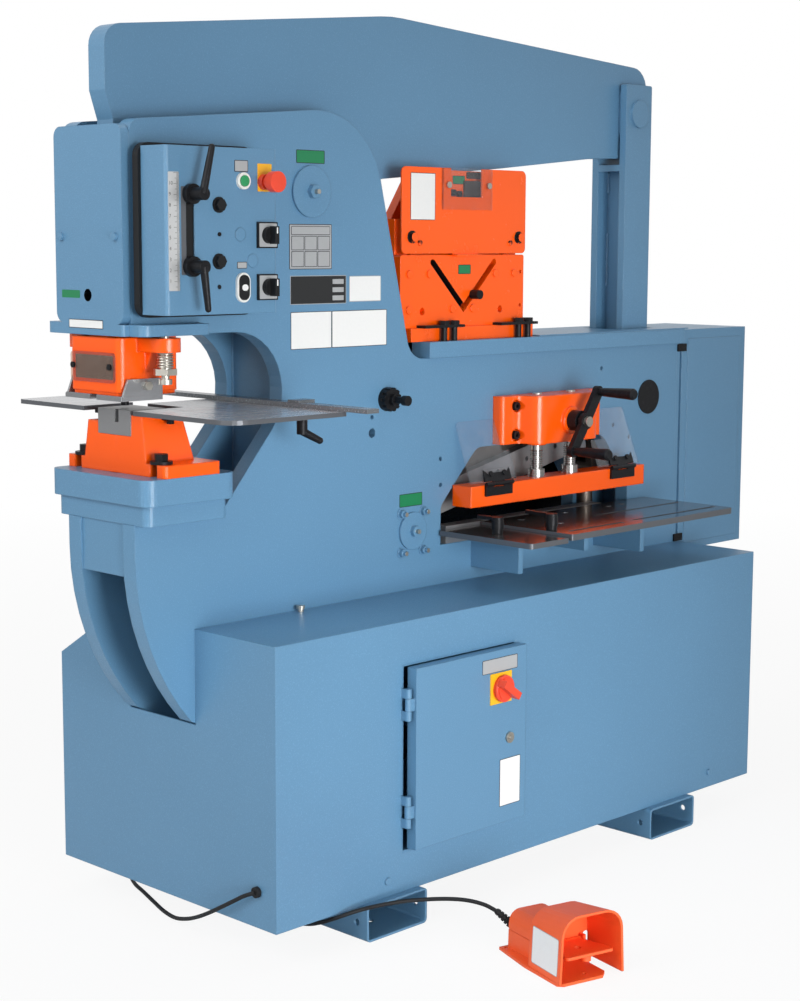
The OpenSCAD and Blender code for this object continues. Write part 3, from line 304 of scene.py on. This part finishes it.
def moulded(name, colour, rough=0.38, grain=0.35, edge=0.001, gloss=0.5):
    """Moulded plastic or rubber with a fine spark-eroded grain."""
    made = Finish(name)
    made.put("Specular IOR Level", gloss)
    grains = made.noise(1100, 2)
    made.put("Base Color", made.mix(made.noise(40, 3), shaded(colour, 0.93),
                                    shaded(colour, 1.07)))
    made.put("Roughness", rough + 0.12 * grains)
    made.bump(grains, 0.0002, grain, edge)
    return made


def satin_steel(name, colour, rough=0.3, metal=0.5, edge=0.0008):
    """Ground steel under a film of oil: even and satin, with faint grinding lines."""
    made = Finish(name, metal=metal)
    lines = made.noise(1, 3, 0.6, made.stretched((9, 300, 300)))
    clouds = made.noise(9, 4)
    made.put("Base Color", made.mix(0.5 * clouds + 0.5 * lines, shaded(colour, 0.84),
                                    shaded(colour, 1.12)))
    made.put("Roughness", rough + 0.12 * lines)
    made.bump(lines, 0.0001, 0.5, edge)
    return made


def clear_sheet(name, colour, haze, rough=0.06, edge=0.25):
    """Thin plastic sheet: mostly seen through, hazy with fine scuffs, glossy on top."""
    made = Finish(name, rough)
    scuffs = made.ramp(made.noise(55, 7, 0.7), (0.5, 0), (0.85, 1))
    made.put("Base Color", made.mix(scuffs, shaded(colour, 0.8), colour))
    through = made.node("ShaderNodeBsdfTransparent", {}, {"Color": colour})
    rim = made.node("ShaderNodeLayerWeight", {}, {"Blend": 0.2}, 0)
    shown = made.tree.nodes.new("ShaderNodeMixShader")
    made.feed(shown.inputs[0], haze + 0.06 * scuffs + edge * rim)
    made.tree.links.new(through.out, shown.inputs[1])
    made.tree.links.new(made.shader.outputs[0], shown.inputs[2])
    made.tree.links.new(shown.outputs[0], made.tree.nodes["Material Output"].inputs[0])
    return made


def printed(name, colour):
    """Blank printed film: even colour with slight mottling under a clear face."""
    made = Finish(name)
    made.put("Base Color", made.mix(made.noise(160, 3), shaded(colour, 0.95), colour))
    made.put("Roughness", 0.3 + 0.1 * made.noise(300, 2))
    made.bump(made.noise(500, 1), 0.0001, 0.2, 0)
    return made


# The rule, in metres: its right edge, the width of its lines, and the step of its figures
RULE_RIGHT = -0.9105
RULE_LINE = 0.0006
FIGURE_STEP = 0.02


def ruled(name, colour, ink):
    """A steel rule read upwards: short, middle and long lines at its right edge."""
    made = Finish(name, 0.32, 0.6)
    parts = made.node("ShaderNodeSeparateXYZ", {}, {0: made.place})
    across = Value(made, parts.out.node.outputs["X"])
    height = Value(made, parts.out.node.outputs["Z"])
    lines = 0.0
    for step, reach in ((0.002, 0.006), (0.01, 0.010), (FIGURE_STEP, 0.013)):
        phase = made.sum_of("FRACT", height / step)
        line = (phase < RULE_LINE / step) * (across > RULE_RIGHT - reach)
        lines = made.sum_of("MAXIMUM", line, lines)
    made.put("Base Color", made.mix(lines, made.mix(made.noise(90, 3), colour,
                                                    shaded(colour, 0.9)), ink))
    return made


BLUE = tone("5C88A9")
ORANGE = tone("FF5C06")
blue = hammered("blue_enamel", BLUE)
orange = enamel("orange_enamel", ORANGE)
orange_cast = enamel("orange_casting", ORANGE, 0.24, 0.3, 0.006)
pedal_paint = cast_paint("pedal_enamel", tone("F4622C"))
table_steel = satin_steel("table_plate", tone("C6C7CA"), 0.2, 0.55)
dark_plate = satin_steel("dark_table_plate", tone("7F7D7D"), 0.1, 0.8)
fence_steel = satin_steel("fence_plate", tone("7E8388"), 0.2, 0.6)
edge_steel = satin_steel("sawn_edge", tone("62656A"), 0.36)
bare_steel = plate_steel("bare_arm", tone("8A8078"), tone("5E5751"), 0.34, way=(40, 40, 9))
blade_steel = satin_steel("blade", tone("8F9092"), 0.3)
bright_plate = satin_steel("bright_plate", tone("A9ABAE"), 0.16, 0.8)
bright_steel = turned_steel("turned_bar", tone("B4B3B1"), 0.2)
zinc = turned_steel("zinc_plate", tone("C4C1B8"), 0.3)
black_oxide = blackened("black_oxide", tone("17181B"))
blade_dark = blackened("oiled_blade", tone("453F3C"), 0.3)
black_paint = blackened("black_enamel", tone("121315"), 0.3)
black_plastic = moulded("black_plastic", tone("131416"), gloss=DULL)
# A dark brown that paints the shade in the recessed pocket behind the punch head's window
pocket_shade = moulded("painted_pocket_shade", tone("4E3A30"), 0.5, gloss=DULL)
rubber = moulded("rubber", tone("191A1C"), 0.5, 0.5, gloss=DULL)
red = moulded("red_plastic", tone("E5472C"), 0.28, 0.15)
green = moulded("green_plastic", tone("22925A"), 0.2, 0.1)
yellow = moulded("yellow_plastic", tone("F2B61E"), 0.3, 0.2)
white = moulded("white_plastic", tone("E8E8E4"), 0.3, 0.15)
sheet = clear_sheet("clear_sheet", tone("F5F8FB"), 0.035)
smoked = clear_sheet("smoked_sheet", tone("EADAD0"), 0.1, edge=0.1)
film_white = printed("white_film", tone("E9EAE9"))
film_green = printed("green_film", tone("127B4C"))
film_silver = printed("silver_film", tone("A7AAAC"))
film_yellow = printed("yellow_film", tone("F0B428"))
film_black = printed("black_film", tone("17191B"))
film_ink = printed("dark_ink", tone("3A3C3F"))
rule_face = ruled("rule_face", tone("DADCDD"), tone("2C2E31"))


def where(x=None, y=None, z=None, facing=None):
    """A test on a face: its middle within the ranges, in mm, and its normal this way."""
    def test(middle, normal):
        for value, span in zip(middle, (x, y, z)):
            if span and not span[0] <= value / MM <= span[1]:
                return False
        return facing is None or normal.dot(Vector(facing)) > 0.7
    return test


def paint(node, finish, *others):
    """Gives a CAD node its finish, and other finishes to the faces that a test picks."""
    mesh = nodes[node].data
    mesh.materials.clear()
    for each in (finish,) + tuple(o[0] for o in others):
        mesh.materials.append(each.material)
    for face in mesh.polygons:
        face.material_index = 0
        for i, (_, test) in enumerate(others):
            if test(face.center, face.normal):
                face.material_index = i + 1


base_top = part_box("base_cabinet")[1].z / MM
# Black on the rear guard's inside faces behind the arch is painted shade: these faces are blue like
# the rest of the frame
paint("frame_webs", blue,
      (black_paint, where(x=(-92, 616), y=(105.9, 226.1), z=(699, 996.1))))
for name in ("base_cabinet", "fork_tubes", "frame_plate_near", "frame_plate_far", "deck_rails",
             "rocker_beam", "link_column"):
    paint(name, blue)
for name in ("die_holder", "hold_down_bar"):
    paint(name, orange_cast)
# The pocket's faces behind the window get the dark brown as painted shade in the recess
paint("punch_head", orange_cast,
      (pocket_shade, where(x=(-950.5, -820), y=(-60.2, 60.2), z=(1149.9, 1196.1))),
      (pocket_shade, where(x=(-930.5, -825.5), y=(-52.5, 52.5), z=(1126.5, 1230))))
paint("angle_back_frame", orange)
for name in ("pedal_body", "treadle"):
    paint(name, pedal_paint)
for name in ("die_block", "lower_blade", "upper_blade"):
    paint(name, blade_steel)
paint("shear_rod", bare_steel)
for name in ("ram", "cylinder_rod", "jack_screws"):
    paint(name, bright_steel)
for name in ("die_bolts", "guard_knuckles", "stop_left", "stop_right", "fence_lever",
             "lever_upper", "lever_lower", "punch"):
    paint(name, black_oxide)
for name in ("selector_upper", "selector_lower"):
    paint(name, black_plastic)
paint("jog_rocker", black_plastic)
paint("strain_relief", rubber)
paint("start_button", green)
paint("estop_button", red)
paint("isolator_handle", red)
paint("door_latch", zinc)
paint("shear_beam", bare_steel)
paint("fence_bar", fence_steel)
paint("electrical_door", blue, (yellow, where(x=(-207, -138), y=(-376, -372.8),
                                              z=(435, 504))))
# Black on the inside walls of the control box's slot is painted shade in the slot
paint("control_box", blue, (black_oxide, where(x=(-819, -810), y=(-218, -215.1))))
paint("pivot_pins", blue, (zinc, where(y=(-140, -123.2))))
paint("hydraulics", bright_steel, (black_paint, where(y=(124, 600))))
paint("end_cover", blue, (black_paint, where(x=(800.2, 837), y=(-111, -106.5))))
paint("beam_fittings", blue, (orange, where(z=(1400, 1572))))
# Black on the inner faces of the angle shear's opening, on the front plate's left arm and on the
# carriage behind it, is painted shade in the opening
left_arm_shade = where(x=(-106, 12), y=(-87.5, -66.5), z=(1240, 1372))
paint("angle_front_plate", orange, (black_oxide, left_arm_shade))
paint("angle_carriage", orange, (black_oxide, where(x=(-106, 100), y=(-61.5, -27.5),
                                                   z=(1240, 1375))),
      (black_oxide, where(x=(-106, 100), y=(-27.2, 51.5), z=(1240.5, 1375))))
paint("shear_fasteners", black_oxide, (zinc, where(x=(-532, -512), y=(-132, -112),
                                                   z=(base_top, base_top + 14))))
paint("angle_guard", orange, (black_oxide, where(y=(-101.5, -92.5), z=(1412.5, 1440))),
      (zinc, where(y=(-100, -92.5), z=(1532, 1548))))
paint("gear_housing", orange_cast, (zinc, where(z=(1064.2, 1073))))
paint("shear_tables", dark_plate, (edge_steel, where(facing=(0, -1, 0))),
      (edge_steel, where(facing=(-1, 0, 0))))
paint("punch_tables", table_steel, (edge_steel, where(facing=(0, -1, 0))),
      (edge_steel, where(facing=(-1, 0, 0))))
paint("stripper", bright_plate, (zinc, where(x=(-903, -883), y=(-99, -90.2))),
      (zinc, where(y=(-160, -100))), (zinc, where(y=(100, 160))))
window_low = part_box("sight_windows")[0].x / MM
paint("sight_windows", sheet,
      (smoked, where(x=(window_low + 3.8, window_low + 10.2))),
      (black_oxide, where(x=(window_low - 1, window_low + 3.8))))
# Black on the inner faces of the hole in the head's end cover is painted shade in the hole
paint("head_shroud", blue,
      (black_paint, where(x=(-959.8, -941.2), y=(-8.2, 16.2), z=(1298.8, 1323.2))))
paint("panel_trim", black_plastic,
      (white, where(x=(-772, -738), z=(1512, 1546))),
      (red, where(x=(-718, -686), z=(1512, 1544))),
      (white, where(x=(-776, -740), z=(1297, 1357))))
paint("crank", black_oxide, (zinc, where(y=(-247, -238.2), x=(262, 288), z=(990, 1016))))
for name in ("guard_left", "guard_right"):
    paint(name, sheet, (black_oxide, where(z=(0, 908), y=(-190, -161.5))))
cord.data.materials.append(rubber.material)


# ---- pieces made in Blender ----------------------------------------------------------

def alone(made):
    bpy.ops.object.select_all(action="DESELECT")
    made.select_set(True)
    bpy.context.view_layer.objects.active = made


def settle(made, name, finish, body):
    """Applies a piece's place, names it, and gives it its finish and its body."""
    alone(made)
    bpy.ops.object.transform_apply(location=True, rotation=True, scale=True)
    bpy.context.view_layer.update()
    made.name = made.data.name = name
    made.data.materials.clear()
    for each in finish if isinstance(finish, tuple) else (finish,):
        made.data.materials.append(each.material)
    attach(made, body)


FRONT = Matrix.Identity(4)
LEFT = Matrix.Rotation(-math.pi / 2, 4, "Z")


RIM = 1.3  # how wide a plate's rim is, in mm


def label(name, across, up, out, finish, border=None, body="machine", corner=2.0,
          thick=0.5, way=FRONT, slot="black_plastic"):
    """A thin plate, with its rim in another finish where a border is given. Across and up
    are its spans in mm on the face that way turns from -Y, and out is how far that face
    lies from the origin."""
    bpy.ops.object.select_all(action="DESELECT")
    bpy.ops.mesh.primitive_plane_add(
        size=MM, location=(sum(across) / 2 * MM, -out * MM, sum(up) / 2 * MM),
        rotation=(math.pi / 2, 0, 0))
    made = bpy.context.object
    made.scale = (across[1] - across[0], up[1] - up[0], 1)
    bpy.ops.object.transform_apply(location=True, rotation=True, scale=True)
    bpy.ops.object.mode_set(mode="EDIT")
    bpy.ops.mesh.select_all(action="SELECT")
    bpy.ops.mesh.bevel(offset=corner * MM, segments=4, affect="VERTICES")
    bpy.ops.mesh.select_all(action="SELECT")
    bpy.ops.mesh.extrude_region_move(
        TRANSFORM_OT_translate={"value": (0, -thick * MM, 0)})
    if border:
        bpy.ops.mesh.inset(thickness=RIM * MM)
    bpy.ops.mesh.select_all(action="SELECT")
    bpy.ops.mesh.normals_make_consistent(inside=False)
    bpy.ops.object.mode_set(mode="OBJECT")
    made.matrix_world = way @ made.matrix_world
    settle(made, name, (finish, border) if border else finish, body)
    if border:
        # The rim and the sides have four corners, the face itself has more
        for face in made.data.polygons:
            face.material_index = len(face.vertices) == 4


# How far from the origin the faces lie that carry a plate, in mm
FRAME_FACE = 106
ON_PLATE = FRAME_FACE + 0.5
BOX_FACE = 215
BEZEL_FACE = 221
JOG_FACE = 224
KNOB_FACE = 248
DOOR_FACE = 372.5
HEAD_FACE = 960
GUARD_FACE = 92
FRONT_FACE = 88
CARRIAGE_FACE = 62
ON_CARRIAGE = CARRIAGE_FACE + 4

# How high the two selector knobs sit, in mm
UPPER_KNOB = 1427
LOWER_KNOB = 1327

# Blank plates on the frame, the angle shear, the head, the door and the control box
for row in (
        ("rating_plate", (-536, -417), (1358, 1450), FRAME_FACE, film_silver, film_black),
        ("rating_head", (-531, -422), (1428, 1446), ON_PLATE, film_silver, film_ink),
        ("capacity_plate", (-534, -375), (1286, 1345), FRAME_FACE, film_black, film_silver),
        ("small_plate", (-366, -272), (1289, 1343), FRAME_FACE, film_white, film_silver),
        ("hood_tag", (-516, -437), (1573, 1600), FRAME_FACE, film_green, film_black),
        ("pivot_tag", (-212, -140), (835, 864), FRAME_FACE, film_green, film_black),
        ("wide_plate_left", (-533, -417.5), (1194, 1271), FRAME_FACE, film_white, film_black),
        ("wide_plate_right", (-416.5, -254), (1194, 1271), FRAME_FACE, film_white, film_black),
        ("slot_plate", (-167, -89), (1462, 1564), GUARD_FACE, film_white, film_black),
        ("front_tag", (-8, 33), (1343, 1364), FRONT_FACE, film_green, film_black),
        ("start_tag", (-775, -741), (1546, 1568), BOX_FACE, film_silver, film_black),
        ("stop_plate", (-717, -681), (1510, 1563), BOX_FACE, film_yellow),
        ("jog_tag", (-770, -745), (1363, 1376), BOX_FACE, film_silver, film_ink),
        ("rule", (-936, -910.5), (1323, 1542), BOX_FACE, rule_face),
        ("slot_strip", (-906, -894.5), (1352, 1516), BOX_FACE, edge_steel)):
    label(*row)
for i in range(3):
    x = -530.5 + 36.5 * i
    label(f"rating_field_{i + 1}", (x, x + 34.5), (1397, 1426), ON_PLATE, film_silver, film_ink,
          corner=0.8)
    label(f"rating_field_{i + 4}", (x, x + 34.5), (1363, 1395), ON_PLATE, film_silver, film_ink,
          corner=0.8)
    label(f"capacity_field_{i + 1}", (-415, -383), (1293 + 17 * i, 1303 + 17 * i), ON_PLATE,
          film_silver, corner=0.8)
for name, z in (("selector_face_upper", UPPER_KNOB), ("selector_face_lower", LOWER_KNOB)):
    label(name, (-718, -673), (z - 22.5, z + 22.5), BEZEL_FACE, film_silver, thick=0.22)
label("isolator_tag", (-231, -118), (505, 536), DOOR_FACE, film_silver, film_ink, body="door")
label("door_plate", (-172, -105), (205, 310), DOOR_FACE, film_white, film_black, body="door")
label("arrow_tag", (-87, -29), (1305, 1320), HEAD_FACE, film_green, way=LEFT)
label("shroud_plate", (-66, 43), (1247, 1264), HEAD_FACE, film_white, film_black, way=LEFT,
      corner=1)
for knob, z in (("select_up", UPPER_KNOB), ("select_low", LOWER_KNOB)):
    label(knob + "_mark", (-697, -694), (z + 3, z + 15), KNOB_FACE, film_white, body=knob, corner=1,
          thick=0.2)
label("jog_lamp", (-765, -750), (1321, 1333), JOG_FACE, film_white, body="jog", corner=5.8,
      thick=0.8)

# What shows through the angle guard's window, on the carriage behind it
label("carriage_plate", (-50, 92), (1480, 1573), CARRIAGE_FACE, orange, body="carriage", corner=6,
      thick=4, slot="orange_paint")
label("carriage_tag", (-5, 35), (1543, 1562), ON_CARRIAGE, film_green, film_black, body="carriage")
label("carriage_blade", (30, 88), (1500, 1551), ON_CARRIAGE, blade_dark, body="carriage", corner=1,
      thick=6, slot="blade_steel")
# A dark plate near the top of the carriage, seen through the window, is painted shadow put where
# there is only shade
label("carriage_shade_plate", (40, 88), (1556, 1571), ON_CARRIAGE, blade_dark, body="carriage", corner=3,
      thick=3, slot="blade_steel")
for name, x, z in (("carriage_bolt_left", -6, 1524), ("carriage_bolt_right", 14, 1521)):
    label(name, (x - 7, x + 7), (z - 7, z + 7), ON_CARRIAGE, black_oxide, body="carriage", corner=4.1,
          thick=7, slot="black_oxide")

# The pedal stands turned on the floor; its shield's side leans in and runs in
PEDAL = (Matrix.Translation((-0.391, -0.808, 0))
         @ Matrix.Rotation(math.radians(-15), 4, "Z"))


def on_shield():
    """The frame of the shield's left side: x towards the back, z up, -y outwards."""
    along = Vector((4 / 112, 1, 0)).normalized()
    up = Vector((6 / 132, 0, 1)).normalized()
    out = up.cross(along).normalized()
    at = Vector((-0.077, 0, 0.004))
    turned = Matrix((along, -out, up)).transposed().to_4x4()
    return PEDAL @ Matrix.Translation(at) @ turned


label("shield_plate", (10, 101), (14, 88), 0, film_white, film_silver, way=on_shield(),
      corner=4, slot="pedal_paint")

label("pedal_top_plate", (-26, 26), (126, 160), 84, film_silver, film_white,
      way=PEDAL @ Matrix.Rotation(-math.pi / 2, 4, "X"), slot="pedal_paint")


ISOLATOR_X = -0.172
ISOLATOR_Z = 0.469


def isolator_ring():
    """The rim and the disc round the isolator's handle."""
    bpy.ops.object.select_all(action="DESELECT")
    bpy.ops.mesh.primitive_torus_add(
        location=(ISOLATOR_X, -0.3845, ISOLATOR_Z), rotation=(math.pi / 2, 0, 0),
        major_radius=0.0255, minor_radius=0.0042, major_segments=48, minor_segments=12)
    made = bpy.context.object
    bpy.ops.object.shade_smooth()
    bpy.ops.mesh.primitive_cylinder_add(
        vertices=48, radius=0.027, depth=0.004, location=(ISOLATOR_X, -0.3779, ISOLATOR_Z),
        rotation=(math.pi / 2, 0, 0))
    disc = bpy.context.object
    for part in (made, disc):
        part.select_set(True)
    bpy.context.view_layer.objects.active = made
    bpy.ops.object.join()
    settle(made, "isolator_rim", red, "isolator")


isolator_ring()


# ---- the rule's figures --------------------------------------------------------------

def figures():
    """The figures 1 to 10 beside the rule's longest lines, made one mesh."""
    parts = []
    for i in range(10):
        bpy.ops.object.select_all(action="DESELECT")
        bpy.ops.object.text_add(
            location=(-0.9345, -0.21555, 1.338 + FIGURE_STEP * i), rotation=(math.pi / 2, 0, 0))
        word = bpy.context.object
        word.data.body = str(i + 1)
        word.data.size = 0.0095
        word.data.extrude = 0.00004
        word.data.resolution_u = 3
        bpy.ops.object.convert(target="MESH")
        parts.append(bpy.context.object)
    bpy.ops.object.select_all(action="DESELECT")
    for part in parts:
        part.select_set(True)
    bpy.context.view_layer.objects.active = parts[0]
    bpy.ops.object.join()
    settle(bpy.context.object, "rule_figures", film_ink, "machine")


figures()


# ---- weld beads ----------------------------------------------------------------------

WELD_PITCH = 4.4  # between the ripples, in mm
WELD_FLAT = 0.85  # a ripple's length along the bead, against its width


def weld(name, start, end, body="machine", r=3.4):
    """A row of overlapping ripples from start to end, in mm, painted over."""
    start, end = Vector(start) * MM, Vector(end) * MM
    pitch = WELD_PITCH * MM
    bpy.ops.object.select_all(action="DESELECT")
    bpy.ops.mesh.primitive_uv_sphere_add(segments=12, ring_count=8, radius=r * MM)
    made = bpy.context.object
    made.scale = (1, 1, WELD_FLAT)
    bpy.ops.object.transform_apply(scale=True)
    row = made.modifiers.new("row", "ARRAY")
    row.use_relative_offset = False
    row.use_constant_offset = True
    row.constant_offset_displace = (0, 0, pitch)
    row.count = int((end - start).length / pitch) + 1
    bpy.ops.object.modifier_apply(modifier="row")
    bpy.ops.object.shade_smooth()
    way = (end - start).to_track_quat("Z", "Y").to_matrix().to_4x4()
    made.matrix_world = Matrix.Translation(start) @ way
    settle(made, name, blue, body)


for i, (start, end) in enumerate((
        ((-541, -68, 880), (-541, -68, 1230)),
        ((-541, 68, 880), (-541, 68, 1230)),
        ((-916, -68, 770), (-916, -68, 868)),
        ((-936, -106, 871), (-730, -106, 871)),
        ((-936, 106, 871), (-730, 106, 871)),
        ((40, -106, 676), (40, -106, 755)),
        ((487, -106, 676), (487, -106, 755)))):
    weld(f"weld_bead_{i + 1}", start, end)
for i, (low, high) in enumerate(((1164, 1186), (1307, 1438), (1540, 1588))):
    weld(f"column_bead_{i + 1}", (681, 33, low), (681, 33, high), "column", 5)


# ---- room ----------------------------------------------------------------------------

FLOOR_WIDE = 60
FLOOR_TONE = 0.86
FLOOR_REACH = 12  # in metres; the floor turns white between 0.12 and 0.5 of it
ROOM_LEVEL = 0.28
GLOSS_LEVEL = 0.6  # added to the room for what shines


def make_room():
    """The floor, which turns white further out, the room's light and three lamps."""
    bpy.ops.object.select_all(action="DESELECT")
    bpy.ops.mesh.primitive_plane_add(size=FLOOR_WIDE)
    floor = bpy.context.object
    floor.name = "floor"
    made = Finish("floor_finish", 0.8)
    made.put("Base Color", (FLOOR_TONE, FLOOR_TONE, FLOOR_TONE, 1))
    rays = made.node("ShaderNodeLightPath", output="Is Camera Ray")
    glow = made.node("ShaderNodeEmission", {}, {"Color": (1, 1, 1, 1), "Strength": 1.0})
    shown = made.tree.nodes.new("ShaderNodeMixShader")
    out = made.node("ShaderNodeVectorMath", {"operation": "LENGTH"}, {0: made.place}, 1)
    far = made.ramp(out / FLOOR_REACH, (0.12, 0), (0.5, 1))
    made.feed(shown.inputs[0], rays * (0.9 + 0.1 * far))
    made.tree.links.new(made.shader.outputs[0], shown.inputs[1])
    made.tree.links.new(glow.out, shown.inputs[2])
    made.tree.links.new(shown.outputs[0], made.tree.nodes["Material Output"].inputs[0])
    floor.data.materials.append(made.material)

    world = bpy.data.worlds.new("room")
    bpy.context.scene.world = world
    world.use_nodes = True
    tree = world.node_tree
    path = tree.nodes.new("ShaderNodeLightPath")
    seen = tree.nodes.new("ShaderNodeMath")
    seen.operation = "MAXIMUM"
    tree.links.new(path.outputs["Is Camera Ray"], seen.inputs[0])
    tree.links.new(path.outputs["Is Transmission Ray"], seen.inputs[1])
    gloss = tree.nodes.new("ShaderNodeMath")
    gloss.operation = "MULTIPLY_ADD"
    gloss.inputs[1].default_value = GLOSS_LEVEL
    tree.links.new(path.outputs["Is Glossy Ray"], gloss.inputs[0])
    gloss.inputs[2].default_value = ROOM_LEVEL
    level = tree.nodes.new("ShaderNodeMath")
    level.operation = "MAXIMUM"
    tree.links.new(seen.outputs[0], level.inputs[0])
    tree.links.new(gloss.outputs[0], level.inputs[1])
    back = tree.nodes["Background"]
    back.inputs["Color"].default_value = (1, 1, 1, 1)
    tree.links.new(level.outputs[0], back.inputs["Strength"])

    # Each lamp: where it is, where it aims, its width, its power and its spread
    for name, at, aim, size, power, spread in (
            ("key", (-4.2, -0.1, 2.9), (-0.3, 0, 1.4), 2.8, 106, 180),
            ("front", (-1.3, -3.9, 0.8), (-0.2, -0.1, 0.55), 1.8, 21, 60),
            ("top", (0.2, 0.2, 5.0), (0.1, 0, 1.0), 3.2, 42, 180)):
        data = bpy.data.lights.new(name, "AREA")
        data.size = size
        data.energy = power
        data.spread = math.radians(spread)
        lamp = bpy.data.objects.new(name, data)
        bpy.context.scene.collection.objects.link(lamp)
        way = Vector(aim) - Vector(at)
        lamp.matrix_world = (Matrix.Translation(at)
                             @ way.to_track_quat("-Z", "Y").to_matrix().to_4x4())


make_room()
bpy.context.scene.view_settings.view_transform = "Standard"
